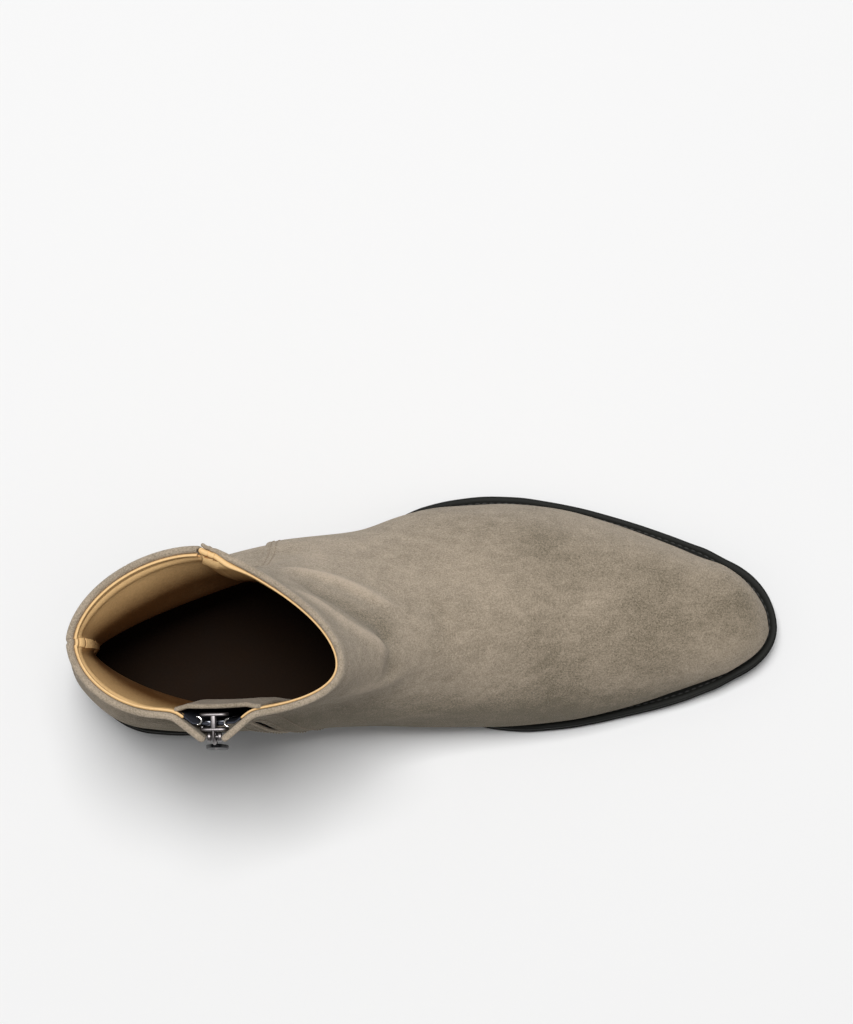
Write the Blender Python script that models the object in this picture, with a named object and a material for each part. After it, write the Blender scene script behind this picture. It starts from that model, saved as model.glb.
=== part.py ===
"""A left ankle boot in suede, with a low stacked heel and a zip on the inner side.

The boot stands on its sole. +X runs from heel to toe, +Y to the outer (little toe) side and +Z up.
The origin is on the floor, under the middle of the heel. The tables give millimetres, with x counted
from the back of the heel and z from the floor. make_solid() turns them into metres about the origin.
"""

import math

import bmesh
import bpy
import numpy as np

MM = 0.001
HEEL_CENTRE_X = 36.0
SOLE_LENGTH = 297.5
GAP = 0.3

OUTSOLE_THICKNESS = 4.5
OUTSOLE_BEVEL = 1.0
WELT_THICKNESS = 3.0
WELT_INSET = 0.5
WELT_WIDTH = 10.0
WELT_BEVEL_HEIGHT = 0.7
WELT_BEVEL_WIDTH = 0.8
HEEL_SEAT_Z = 24.5
TREAD_START_X = 176.0
TREAD_END_X = 206.0
TOE_SPRING = 10.0
TOE_SPRING_POWER = 1.9
ARCH_START_X = 50.0

HEEL_BREAST_X = 72.0
HEEL_TAPER = 1.6
HEEL_INSET = 0.6
TOP_PIECE_THICKNESS = 6.0
TOP_PIECE_BEVEL = 0.6

WALL = 2.6
UPPER_ROWS = 27
COLUMNS_FRONT = 17
COLUMNS_OUTER = 16
COLUMNS_REAR = 12
COLUMNS_HEEL = 9
INSOLE_THICKNESS = 2.6
INSOLE_MARGIN = 1.2
INSOLE_BEVEL_HEIGHT = 0.8
INSOLE_BEVEL_WIDTH = 1.0
EDGE_ROWS = 0.05
HINT_RISE = 0.3

COLLAR_STEP = 2.6
COLLAR_STEP_START = 0.86
SEAM_STEP = 1.2
SEAM_FADE = 0.16
SEAM_HALF_WIDTH = 0.6

ZIP_END_ROW = 5
ZIP_HALF_GAP = 2.4
ZIP_HALF_GAP_TOP = 5.2
FLAP_REACH = 16.0
FLAP_LIFT = 1.2
FLAP_LIFT_TOP = 12.4
FLAP_FADE = 0.25
FLAP_COLUMNS = 4

TAPE_HALF = 0.35
TAPE_REACH = 13.5
TAPE_TOP_LEVEL = 1.9
TAPE_ROWS = 16
BEAD_HALF = 0.8
BEAD_START = 0.15
BEAD_END = 2.0
BEAD_SPREAD = 1.35
SPREAD_START_ROW = 0.945
SPREAD_END_ROW = 0.965
GUARD_LEVEL = -4.9
GUARD_HALF = 0.9
GUARD_FRONT = 13.0
GUARD_REAR = -12.0
ZIP_TOP_ROW = 0.985
GUARD_TOP_ROW = 1.0

SLIDER_Z = 144.6
SLIDER_HALF_WIDTH = 4.9
SLIDER_HALF_HEIGHT = 3.9
SLIDER_PLATE = 0.9
SLIDER_INNER_LEVEL = -0.2
SLIDER_OUTER_LEVEL = 3.1
SLIDER_POST_HALF = 1.1
POST_START = 3.4
POST_END = 0.6
BITE = 0.1
BRIDGE_HALF_WIDTH = 1.3
BRIDGE_HALF_LENGTH = 3.0
BRIDGE_LEG = 1.0
BRIDGE_CROWN = 9.4
BRIDGE_BAR = 1.1
PULL_BAR_RADIUS = 0.7
PULL_AXIS_LEVEL = 7.1
PULL_HALF_WIDTH = 3.5
PULL_EYE_HALF_WIDTH = 1.9
PULL_EYE_LENGTH = 6.0
PULL_LENGTH = 27.0
PULL_CORNER_POWER = 0.6
PULL_HALF_THICKNESS = 0.7
PULL_POINTS = 20

# The centre line of the upper over the toe, vamp and instep, up to the front of the collar.
FRONT_PROFILE = (
    # place, x, y, z
    ("toe feather", 294.0, -2.5, 17.4),
    ("toe wall", 294.8, -2.5, 22.0),
    ("toe roll", 291.0, -2.3, 29.0),
    ("toe top", 282.0, -2.0, 35.0),
    ("toe box", 262.0, -1.0, 41.0),
    ("vamp", 232.0, 0.0, 48.0),
    ("ball", 200.0, 0.0, 57.5),
    ("cone", 174.0, -2.0, 68.0),
    ("instep", 154.0, -5.0, 79.0),
    ("bend", 139.0, -9.0, 92.0),
    ("shin", 126.5, -12.5, 112.0),
    ("under collar", 118.5, -15.5, 132.0),
    ("collar front", 113.5, -17.0, 150.0),
)

# The back seam, from the heel seat up to the back of the collar.
BACK_PROFILE = (
    # place, x, y, z
    ("heel feather", 4.0, 0.0, 32.6),
    ("heel curve", 0.0, 0.0, 40.0),
    ("heel bulge", -1.8, 0.0, 52.0),
    ("counter top", 0.8, -0.2, 67.0),
    ("below ankle", 5.0, -0.8, 82.0),
    ("ankle", 8.6, -1.4, 100.0),
    ("above ankle", 9.2, -1.8, 118.0),
    ("back strip", 7.8, -2.1, 134.0),
    ("collar back", 6.3, -2.2, 148.0),
)

# Half widths of the foot where it is widest above the sole, how far it is tucked in at the sole,
# and the powers of the curve that rounds it over to the top.
FOOT_SECTIONS = (
    # x, outer, inner, outer tuck, inner tuck, bulge height, outer power, inner power
    (4.0, 25.0, 25.0, 2.0, 2.0, 18.0, 2.0, 2.0),
    (20.0, 30.0, 29.5, 2.0, 2.0, 18.0, 2.0, 2.0),
    (45.0, 34.0, 33.5, 2.0, 2.5, 18.0, 2.0, 2.0),
    (70.0, 37.0, 35.0, 3.0, 6.0, 20.0, 1.9, 2.0),
    (100.0, 42.5, 35.5, 4.0, 10.0, 22.0, 1.7, 2.1),
    (120.0, 47.5, 35.5, 3.0, 10.0, 21.0, 1.6, 2.2),
    (140.0, 54.0, 36.0, 2.0, 7.0, 16.0, 1.55, 2.3),
    (160.0, 57.5, 36.5, 1.6, 2.5, 12.0, 1.6, 2.4),
    (180.0, 58.2, 37.0, 1.5, 1.5, 9.0, 1.65, 2.4),
    (204.0, 55.5, 36.0, 1.4, 1.4, 8.0, 1.8, 2.4),
    (230.0, 48.5, 32.5, 1.3, 1.3, 7.0, 2.0, 2.4),
    (255.0, 38.6, 26.6, 1.2, 1.2, 6.5, 2.2, 2.4),
    (270.0, 31.4, 22.4, 1.2, 1.2, 6.0, 2.2, 2.3),
    (283.0, 26.8, 18.6, 1.2, 1.2, 6.0, 2.1, 2.2),
    (294.0, 23.5, 17.5, 1.2, 1.2, 6.0, 2.0, 2.0),
)
HEEL_ROUND = 27.0
TOE_ROUND = 22.0
TOE_REACH = 1.0

# Rings of the shaft. Each side is widest at its peak, as a share of the way from the back to the front.
# It thins to the back by one power, and to the front by a power and a root.
SHAFT_RINGS = (
    # row, outer, peak, back, front, root, inner, peak, back, front, root
    (0.40, 36.5, 0.52, 1.60, 1.30, 2.0, 34.0, 0.45, 2.0, 2.0, 2.0),
    (0.62, 32.0, 0.58, 1.22, 1.35, 2.0, 28.0, 0.42, 1.5, 2.0, 2.0),
    (0.84, 34.0, 0.52, 1.30, 1.28, 1.9, 25.5, 0.36, 1.6, 2.1, 2.1),
    (1.00, 41.3, 0.50, 1.65, 1.20, 1.9, 27.0, 0.30, 2.0, 2.2, 2.2),
)
SHAFT_START = 0.26
SHAFT_FULL = 0.72
BACK_ROW_POWER = 1.3

# The edge of the outsole.
SOLE_SECTIONS = (
    # x, outer, inner
    (0.0, 26.0, 26.0),
    (20.0, 31.0, 30.5),
    (45.0, 34.5, 33.5),
    (72.0, 36.0, 32.0),
    (95.0, 39.5, 27.0),
    (115.0, 45.5, 24.5),
    (135.0, 54.5, 25.5),
    (150.0, 60.6, 29.0),
    (163.0, 63.1, 33.8),
    (175.0, 63.9, 37.3),
    (190.0, 62.8, 39.0),
    (204.0, 60.0, 38.6),
    (217.0, 56.6, 37.2),
    (230.0, 52.2, 35.1),
    (243.0, 47.2, 32.9),
    (255.0, 42.0, 30.2),
    (268.0, 36.0, 26.2),
    (280.0, 31.6, 23.2),
    (297.5, 30.6, 22.6),
)
SOLE_HEEL_ROUND = 28.0
SOLE_TOE_ROUND = 30.0
TOE_TIP_Y = -2.5
SOLE_STATIONS = 46
HEEL_STATIONS = 14

# The outer seam and the zip, which run forward as they go down from the collar.
SEAM_LINES = {
    # name: x at the collar, slope, curve per mm of drop
    "outer_seam": (61.0, 0.36, -0.0012),
    "zip": (61.3, 0.08, 0.0017),
}
COLLAR_Z = 150.0


def smoothstep(low, high, value):
    """0 below low, 1 above high and a soft S between."""
    u = np.clip((np.asarray(value, float) - low) / (high - low), 0.0, 1.0)
    return u * u * (3.0 - 2.0 * u)


def through(xs, ys, x):
    """A smooth curve through table points that never overshoots them (monotone cubic)."""
    xs, ys = np.asarray(xs, float), np.asarray(ys, float)
    step = np.diff(xs)
    slope = np.diff(ys) / step
    tangent = np.zeros_like(ys)
    tangent[0], tangent[-1] = slope[0], slope[-1]
    for i in range(1, len(xs) - 1):
        if slope[i - 1] * slope[i] > 0:
            before, after = 2 * step[i] + step[i - 1], step[i] + 2 * step[i - 1]
            tangent[i] = (before + after) / (before / slope[i - 1] + after / slope[i])
    x = np.clip(np.asarray(x, float), xs[0], xs[-1])
    i = np.clip(np.searchsorted(xs, x, side="right") - 1, 0, len(xs) - 2)
    u = (x - xs[i]) / step[i]
    return (
        (1 + 2 * u) * (1 - u) ** 2 * ys[i]
        + u * (1 - u) ** 2 * step[i] * tangent[i]
        + u * u * (3 - 2 * u) * ys[i + 1]
        + u * u * (u - 1) * step[i] * tangent[i + 1]
    )


def column(table, index):
    """One column of a table."""
    return [row[index] for row in table]


def along_profile(profile, share):
    """The point (x, y, z) at a share of a profile's length."""
    points = np.array([row[1:] for row in profile])
    lengths = np.concatenate([[0.0], np.cumsum(np.linalg.norm(np.diff(points, axis=0), axis=1))])
    place = np.asarray(share, float) * lengths[-1]
    return np.stack([through(lengths, points[:, k], place) for k in range(3)], -1)


def round_end(distance, radius):
    """0 at the end of an outline and 1 from radius on, as a quarter of a circle."""
    u = np.clip(np.asarray(distance, float) / radius, 0.0, 1.0)
    return np.sqrt(np.clip(1.0 - (1.0 - u) ** 2, 0.0, 1.0))


def sole_bottom(x):
    """Height of the outsole's underside: heel seat, arch, flat tread and toe spring."""
    x = np.asarray(x, float)
    arch = HEEL_SEAT_Z * (1.0 - smoothstep(ARCH_START_X, TREAD_START_X, x))
    ahead = np.clip(x - TREAD_END_X, 0.0, None) / (SOLE_LENGTH - TREAD_END_X)
    return arch + TOE_SPRING * ahead**TOE_SPRING_POWER


def welt_bottom(x):
    """Height of the welt's underside, just above the outsole."""
    return sole_bottom(x) + OUTSOLE_THICKNESS + GAP


def feather(x):
    """Height at which the upper meets the welt."""
    return welt_bottom(x) + WELT_THICKNESS + GAP


def sole_edge(x, side, inset):
    """Y of the sole's edge at x, on side +1 (outer) or -1 (inner), moved in by inset all round."""
    x = np.asarray(x, float)
    half = through(column(SOLE_SECTIONS, 0), column(SOLE_SECTIONS, 1 if side > 0 else 2), x) - inset
    ends = round_end(x - inset, SOLE_HEEL_ROUND) * round_end(SOLE_LENGTH - inset - x, SOLE_TOE_ROUND)
    return TOE_TIP_Y * x / SOLE_LENGTH + side * half * ends


RIDGE = along_profile(FRONT_PROFILE, np.linspace(0.0, 1.0, 1200))
RIDGE = RIDGE[np.argmax(RIDGE[:, 0]) :][::-1]
RIDGE_SLOPE_BEHIND = 3.5


def ridge_height(x):
    """Height of the front profile over x. Behind the collar it goes on rising, out of the way."""
    behind = np.clip(RIDGE[0, 0] - np.asarray(x, float), 0.0, None)
    return np.interp(x, RIDGE[:, 0], RIDGE[:, 2]) + RIDGE_SLOPE_BEHIND * behind


def foot_half_width(x, z, side):
    """Half width of the foot at x and z: tucked in at the sole, widest at the bulge, round on top."""
    xs = column(FOOT_SECTIONS, 0)
    width = through(xs, column(FOOT_SECTIONS, 1 if side > 0 else 2), x)
    tuck = through(xs, column(FOOT_SECTIONS, 3 if side > 0 else 4), x)
    bulge = through(xs, column(FOOT_SECTIONS, 5), x)
    power = through(xs, column(FOOT_SECTIONS, 6 if side > 0 else 7), x)
    over = z - feather(x)
    low = np.clip(1.0 - over / bulge, 0.0, 1.0)
    span = np.maximum(ridge_height(x) - feather(x) - bulge, 1.0)
    high = np.clip((over - bulge) / span, 0.0, 1.0)
    return (width - tuck * low**2) * np.sqrt(np.clip(1.0 - high**power, 0.0, 1.0))


def shaft_half_width(along, row, side):
    """Half width of the shaft's ring at a share of the way from its back to its front."""
    rows = column(SHAFT_RINGS, 0)
    first = 1 if side > 0 else 6
    width, peak, back, front, root = (through(rows, column(SHAFT_RINGS, first + k), row) for k in range(5))
    behind = np.clip((peak - along) / peak, 0.0, 1.0)
    ahead = np.clip((along - peak) / (1.0 - peak), 0.0, 1.0)
    rear = np.clip(1.0 - behind**back, 0.0, 1.0) ** (1.0 / back)
    fore = np.clip(1.0 - ahead**front, 0.0, 1.0) ** (1.0 / root)
    return width * np.where(along < peak, rear, fore)


def upper_point(row, turn, side):
    """A point of the upper's outer face, before its flaps and steps.

    row is 0 at the sole and 1 at the collar. turn is 0 at the front and 1 at the back, on one side.
    """
    row, turn, side = np.broadcast_arrays(np.asarray(row, float), np.asarray(turn, float), side)
    front = along_profile(FRONT_PROFILE, row)
    back = along_profile(BACK_PROFILE, row**BACK_ROW_POWER)
    share = 0.5 * (1.0 + np.cos(math.pi * turn))
    middle = back + (front - back) * share[..., None]
    sole_x = BACK_PROFILE[0][1] + (FRONT_PROFILE[0][1] - BACK_PROFILE[0][1]) * share
    ends = feather(BACK_PROFILE[0][1]), feather(FRONT_PROFILE[0][1])
    sole_chord = ends[0] + (ends[1] - ends[0]) * share
    x = middle[..., 0]
    z = middle[..., 2] + (feather(sole_x) - sole_chord) * (1.0 - row) ** 1.6
    heel = round_end(x - back[..., 0], HEEL_ROUND)
    toe = np.where(share > 0.5, round_end(FRONT_PROFILE[0][1] + TOE_REACH - x, TOE_ROUND), 1.0)
    blend = smoothstep(SHAFT_START, SHAFT_FULL, row)
    halves = []
    for one_side in (1, -1):
        foot = foot_half_width(x, z, one_side) * heel * toe
        shaft = shaft_half_width(share, row, one_side)
        halves.append(foot * (1.0 - blend) + shaft * blend)
    half = np.where(side > 0, halves[0], halves[1]) * (np.sin(math.pi * turn) > 1e-9)
    return np.stack([x, middle[..., 1] + side * half, z], -1)


def seam_x(name, z):
    """X of a seam at height z."""
    at_collar, slope, curve = SEAM_LINES[name]
    drop = np.clip(COLLAR_Z - z, 0.0, None)
    return at_collar + slope * drop + curve * drop**2


TURNS = np.linspace(0.02, 0.98, 500)


def turn_off_seam(name, row, distance):
    """The turn this far, in mm, in front of (+) or behind (-) a seam along the row."""
    side = 1 if name == "outer_seam" else -1
    points = upper_point(row, TURNS, side)
    run = np.concatenate([[0.0], np.cumsum(np.linalg.norm(np.diff(points, axis=0), axis=1))])
    here = np.interp(0.0, seam_x(name, points[:, 2]) - points[:, 0], run)
    return float(np.interp(here - distance, run, TURNS))


def upper_rows():
    """Rows from the sole to the collar, closer together at the sole, where the toe curves most."""
    even = np.linspace(0.0, 1.0, UPPER_ROWS)
    return even - 0.08 * np.sin(2 * math.pi * even) * (1.0 - even)


ROWS = upper_rows()
ZIP_END = ROWS[ZIP_END_ROW]


def near_collar(row):
    """1 at the collar, dying away down the shaft, for the zip's flaps."""
    return np.exp(-(1.0 - row) / FLAP_FADE)


def zip_half_gap(row):
    """Half the gap between the edges of the upper beside the zip."""
    return ZIP_HALF_GAP + (ZIP_HALF_GAP_TOP - ZIP_HALF_GAP) * near_collar(row)


def flap_lift(row):
    """How far the upper would stand out at the zip's middle line."""
    lift = FLAP_LIFT + (FLAP_LIFT_TOP - FLAP_LIFT) * near_collar(row)
    return lift * smoothstep(ZIP_END - 0.12, ZIP_END + 0.1, row)


def row_columns(row):
    """One row's columns, from the zip forward round the boot and back to the zip.

    Each is (side, turn, flap, ahead). flap is the share of the flap's lift, and ahead is how far in
    front of the outer seam it is, in turns, or a negative number elsewhere.
    """
    gap = zip_half_gap(row)
    reaches = np.linspace(gap, FLAP_REACH, FLAP_COLUMNS)
    root_front = turn_off_seam("zip", row, FLAP_REACH)
    root_rear = turn_off_seam("zip", row, -FLAP_REACH)
    seam_front = turn_off_seam("outer_seam", row, SEAM_HALF_WIDTH)
    seam_rear = turn_off_seam("outer_seam", row, -SEAM_HALF_WIDTH)
    front = [(-1, turn_off_seam("zip", row, r), 1 - r / FLAP_REACH, -1.0) for r in reaches[:-1]]
    front += [(-1, turn, 0.0, -1.0) for turn in np.linspace(root_front, 0.0, COLUMNS_FRONT)[:-1]]
    outer = [(1, turn, 0.0, seam_front - turn) for turn in np.linspace(0.0, seam_front, COLUMNS_OUTER)]
    outer += [(1, turn, 0.0, -1.0) for turn in np.linspace(seam_rear, 1.0, COLUMNS_REAR)[:-1]]
    rear = [(-1, turn, 0.0, -1.0) for turn in np.linspace(1.0, root_rear, COLUMNS_HEEL)[:-1]]
    rear += [(-1, turn_off_seam("zip", row, -r), 1 - r / FLAP_REACH, -1.0) for r in reaches[::-1]]
    return front + outer + rear


def grid_normals(points, outward_hint):
    """Unit normals of a grid of points from its own neighbours, turned outwards."""
    up = np.gradient(points, axis=0)
    along = np.gradient(points, axis=1)
    normals = np.cross(along, up)
    normals /= np.maximum(np.linalg.norm(normals, axis=2, keepdims=True), 1e-12)
    return normals * np.where((normals * outward_hint).sum(2, keepdims=True) < 0, -1.0, 1.0)


def upper_faces():
    """The upper's outer and inner grids of points, in table millimetres."""
    columns = [row_columns(row) for row in ROWS]
    side = np.array([[c[0] for c in row] for row in columns], float)
    turn = np.array([[c[1] for c in row] for row in columns])
    flap = np.array([[c[2] for c in row] for row in columns])
    ahead = np.array([[c[3] for c in row] for row in columns])
    rows = np.repeat(ROWS[:, None], side.shape[1], axis=1)
    base = upper_point(rows, turn, side)
    angle = math.pi * turn
    hint = np.stack([np.cos(angle), side * np.sin(angle), np.full_like(turn, HINT_RISE)], -1)
    base = base + grid_normals(base, hint) * (flap * flap_lift(rows))[..., None]
    normals = grid_normals(base, hint)
    fade = np.where(ahead >= 0.0, np.exp(-np.maximum(ahead, 0.0) / SEAM_FADE), 0.0)
    base[..., 2] += COLLAR_STEP * fade * smoothstep(COLLAR_STEP_START, 1.0, rows)
    level = smoothstep(0.0, EDGE_ROWS, rows) * (1.0 - smoothstep(1.0 - EDGE_ROWS, 1.0, rows))
    flat = normals * np.stack([np.ones_like(level), np.ones_like(level), level], -1)
    flat /= np.maximum(np.linalg.norm(flat, axis=2, keepdims=True), 1e-9)
    return base + flat * (SEAM_STEP * fade)[..., None], base - flat * WALL


def make_solid(name, points, faces, material):
    """A solid from points in table millimetres, welded, turned outwards and put in the collection."""
    mesh = bpy.data.meshes.new(name)
    placed = (np.asarray(points, float).reshape(-1, 3) - [HEEL_CENTRE_X, 0.0, 0.0]) * MM
    mesh.from_pydata(placed.tolist(), [], faces)
    mesh.update()
    scratch = bmesh.new()
    scratch.from_mesh(mesh)
    bmesh.ops.remove_doubles(scratch, verts=scratch.verts, dist=1e-6)
    bmesh.ops.recalc_face_normals(scratch, faces=scratch.faces)
    scratch.to_mesh(mesh)
    scratch.free()
    mesh.shade_smooth()
    mesh.set_sharp_from_angle(angle=math.radians(35))
    mesh.materials.append(material)
    obj = bpy.data.objects.new(name, mesh)
    BOOT.objects.link(obj)
    return obj


def make_material(name, colour, roughness, metallic=0.0):
    """A Principled material of one colour."""
    material = bpy.data.materials.new(name)
    material.use_nodes = True
    shader = material.node_tree.nodes["Principled BSDF"]
    shader.inputs["Base Color"].default_value = (*colour, 1.0)
    shader.inputs["Roughness"].default_value = roughness
    shader.inputs["Metallic"].default_value = metallic
    return material


def make_upper(material):
    """The upper: one wall from the sole to the collar, slit down the inner side for the zip."""
    outer, inner = upper_faces()
    rows, columns = outer.shape[:2]
    count = rows * columns
    points = np.concatenate([outer.reshape(-1, 3), inner.reshape(-1, 3)])

    def index(layer, r, c):
        return layer * count + r * columns + c % columns

    faces = []
    for r in range(rows - 1):
        for c in range(columns if r < ZIP_END_ROW else columns - 1):
            for layer in (0, 1):
                corners = [(r, c), (r, c + 1), (r + 1, c + 1), (r + 1, c)]
                faces.append([index(layer, *corner) for corner in corners])
    loop = [(0, c) for c in range(columns)] + [(0, 0)]
    edges = list(zip(loop[:-1], loop[1:]))
    slit = [(r, columns - 1) for r in range(rows - 1, ZIP_END_ROW - 1, -1)]
    slit += [(r, 0) for r in range(ZIP_END_ROW, rows)]
    slit += [(rows - 1, c) for c in range(1, columns)]
    edges += list(zip(slit[:-1], slit[1:]))
    for first, second in edges:
        faces.append([index(0, *first), index(0, *second), index(1, *second), index(1, *first)])
    return make_solid("upper", points, faces, material)


def station_xs(start, end, count, round_front=True):
    """Places along a sole's length, closer together at its rounded ends."""
    u = np.linspace(0.0, 1.0, count)
    if round_front:
        return start + (end - start) * 0.5 * (1.0 - np.cos(math.pi * u))
    return start + (end - start) * (1.0 - np.cos(0.5 * math.pi * u))


def make_stack(name, rings, material, hole=None):
    """A flat solid from rings, each (outer side, inner side) of points from the back to the front.

    A hole is two more rings, lower and upper, which make the solid a frame.
    """
    count = len(rings[0][0])
    every = list(rings) + list(hole or ())
    points = np.concatenate([np.concatenate(ring) for ring in every])

    def index(ring, side, i):
        return ring * 2 * count + side * count + i

    def wall(low, high, front):
        for i in range(count - 1):
            for side in (0, 1):
                corners = [(low, i), (low, i + 1), (high, i + 1), (high, i)]
                faces.append([index(ring, side, station) for ring, station in corners])
        if front:
            corners = [(low, 0), (low, 1), (high, 1), (high, 0)]
            faces.append([index(ring, side, count - 1) for ring, side in corners])

    faces = []
    top = len(rings) - 1
    square_front = np.linalg.norm(rings[0][0][-1] - rings[0][1][-1]) > 1.0
    for k in range(top):
        wall(k, k + 1, square_front)
    if hole:
        wall(top + 1, top + 2, False)
        wall(0, top + 1, False)
        wall(top, top + 2, False)
    else:
        for ring in (0, top):
            for i in range(count - 1):
                corners = [(0, i), (0, i + 1), (1, i + 1), (1, i)]
                faces.append([index(ring, side, station) for side, station in corners])
    return make_solid(name, points, faces, material)


def sole_ring(height, inset, lift=0.0):
    """A ring round the sole at an inset. height gives z at x, and lift is added to it."""
    xs = station_xs(inset, SOLE_LENGTH - inset, SOLE_STATIONS)
    return [np.stack([xs, sole_edge(xs, side, inset), height(xs) + lift], -1) for side in (1, -1)]


def make_outsole(material):
    """The outsole: a shaped slab with an arch, a flat tread and toe spring, its lower edge eased."""
    rings = [
        sole_ring(sole_bottom, OUTSOLE_BEVEL),
        sole_ring(sole_bottom, 0.0, lift=OUTSOLE_BEVEL),
        sole_ring(sole_bottom, 0.0, lift=OUTSOLE_THICKNESS),
    ]
    return make_stack("outsole", rings, material)


def make_welt(material):
    """The welt: a strip all round between the outsole and the upper, its top edge eased."""
    rings = [
        sole_ring(welt_bottom, WELT_INSET),
        sole_ring(welt_bottom, WELT_INSET, lift=WELT_THICKNESS - WELT_BEVEL_HEIGHT),
        sole_ring(welt_bottom, WELT_INSET + WELT_BEVEL_WIDTH, lift=WELT_THICKNESS),
    ]
    hole = [
        sole_ring(welt_bottom, WELT_INSET + WELT_WIDTH),
        sole_ring(welt_bottom, WELT_INSET + WELT_WIDTH, lift=WELT_THICKNESS),
    ]
    return make_stack("welt", rings, material, hole)


def make_midsole(material):
    """The midsole, which fills the inside of the welt."""
    inset = WELT_INSET + WELT_WIDTH + GAP
    rings = [sole_ring(welt_bottom, inset), sole_ring(welt_bottom, inset, lift=WELT_THICKNESS)]
    return make_stack("midsole", rings, material)


def insole_ring(lift, inset):
    """A ring inside the upper at the feather, this far inside the upper's outer face."""
    start, end = BACK_PROFILE[0][1] + inset, FRONT_PROFILE[0][1] - inset
    xs = station_xs(start, end, SOLE_STATIONS)
    spine = BACK_PROFILE[0][2] + (FRONT_PROFILE[0][2] - BACK_PROFILE[0][2]) * (xs - start) / (end - start)
    ring = []
    for side in (1, -1):
        half = foot_half_width(xs, feather(xs) + lift, side) - inset
        ends = round_end(xs - start, HEEL_ROUND) * round_end(end - xs, TOE_ROUND)
        ring.append(np.stack([xs, spine + side * half * ends, feather(xs) + lift], -1))
    return ring


def make_insole(material):
    """The insole, lying on the midsole inside the upper."""
    inset = WALL + INSOLE_MARGIN
    rings = [
        insole_ring(0.0, inset),
        insole_ring(INSOLE_THICKNESS - INSOLE_BEVEL_HEIGHT, inset),
        insole_ring(INSOLE_THICKNESS, inset + INSOLE_BEVEL_WIDTH),
    ]
    return make_stack("insole", rings, material)


def heel_ring(height, inset):
    """A ring of the heel, rounded at the back and straight at the breast. height gives z at x."""
    xs = station_xs(inset, HEEL_BREAST_X - inset, HEEL_STATIONS, round_front=False)
    ring = []
    for side in (1, -1):
        y = sole_edge(xs, side, inset)
        ring.append(np.stack([xs, y, height(xs)], -1))
    return ring


def make_heel(leather, rubber):
    """The heel: a stacked block under the seat and a rubber top piece that stands on the floor."""
    low = TOP_PIECE_THICKNESS + GAP
    block = [
        heel_ring(lambda x: np.full_like(x, low), HEEL_INSET + HEEL_TAPER),
        heel_ring(lambda x: sole_bottom(x) - GAP, HEEL_INSET),
    ]
    make_stack("heel_block", block, leather)
    piece = [
        heel_ring(lambda x: np.zeros_like(x), HEEL_INSET + HEEL_TAPER + TOP_PIECE_BEVEL),
        heel_ring(lambda x: np.full_like(x, TOP_PIECE_BEVEL), HEEL_INSET + HEEL_TAPER),
        heel_ring(lambda x: np.full_like(x, TOP_PIECE_THICKNESS), HEEL_INSET + HEEL_TAPER),
    ]
    make_stack("heel_top_piece", piece, rubber)


def zip_surface(row, across, level):
    """A point beside the zip: across mm in front of its line, and level mm off the upper's face."""
    turn = turn_off_seam("zip", row, across)
    step = 1e-3
    point = upper_point(row, turn, -1)
    along = upper_point(row, turn - step, -1) - point
    up = upper_point(min(row + step, 1.0), turn, -1) - upper_point(row - step, turn, -1)
    normal = np.cross(up, along)
    normal /= np.linalg.norm(normal)
    return point + normal * level * (1.0 if normal[1] < 0 else -1.0)


def tape_level(row, across):
    """Level of a zip tape's middle: just behind the flap, and flat where it enters the slider."""
    lift = flap_lift(row)
    behind_flap = lift * (1.0 - across / FLAP_REACH) - WALL * math.hypot(1.0, lift / FLAP_REACH)
    return min(TAPE_TOP_LEVEL, behind_flap - GAP - TAPE_HALF)


def make_loft(name, sections, material):
    """A solid through closed sections of equal length, capped at both ends."""
    points = np.array(sections)
    count = points.shape[1]
    faces = []
    for r in range(points.shape[0] - 1):
        for c in range(count):
            after = (c + 1) % count
            faces.append([r * count + c, r * count + after, (r + 1) * count + after, (r + 1) * count + c])
    half = count // 2
    for base in (0, (points.shape[0] - 1) * count):
        for i in range(half - 1):
            faces.append([base + i, base + i + 1, base + count - 2 - i, base + count - 1 - i])
    return make_solid(name, points, faces, material)


def make_zip_tape(name, side, material):
    """One zip tape with its row of teeth as a bead: side is +1 in front of the zip and -1 behind it."""
    places = (
        # across, half thickness
        (BEAD_START, BEAD_HALF),
        (BEAD_END, BEAD_HALF),
        (BEAD_END + GAP, TAPE_HALF),
        (5.5, TAPE_HALF),
        (8.5, TAPE_HALF),
        (11.0, TAPE_HALF),
        (TAPE_REACH, TAPE_HALF),
    )
    sections = []
    for row in np.linspace(ZIP_END - 0.03, ZIP_TOP_ROW, TAPE_ROWS):
        bead_drop = max(0.0, BEAD_HALF - TAPE_HALF)
        above, below = [], []
        spread = BEAD_SPREAD * smoothstep(SPREAD_START_ROW, SPREAD_END_ROW, row)
        for place, half in places:
            across = place + spread * (1.0 - place / TAPE_REACH)
            level = tape_level(row, across)
            if half > TAPE_HALF and level < TAPE_TOP_LEVEL:
                level -= bead_drop
            above.append(zip_surface(row, side * across, level + half))
            below.append(zip_surface(row, side * across, level - half))
        sections.append(above + below[::-1])
    return make_loft(name, sections, material)


def make_zip_guard(material):
    """The guard: a folded band behind the zip that keeps it off the ankle."""
    sections = []
    for row in np.linspace(ZIP_END - 0.04, GUARD_TOP_ROW, TAPE_ROWS):
        places = np.linspace(GUARD_REAR, GUARD_FRONT, 10)
        above = [zip_surface(row, across, GUARD_LEVEL + GUARD_HALF) for across in places]
        below = [zip_surface(row, across, GUARD_LEVEL - GUARD_HALF) for across in places]
        sections.append(above + below[::-1])
    return make_loft("zip_guard", sections, material)


def row_at_height(z):
    """The row whose zip line is at height z."""
    rows = np.linspace(ZIP_END, 1.0, 60)
    heights = [zip_surface(row, 0.0, 0.0)[2] for row in rows]
    return float(np.interp(z, heights, rows))


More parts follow.
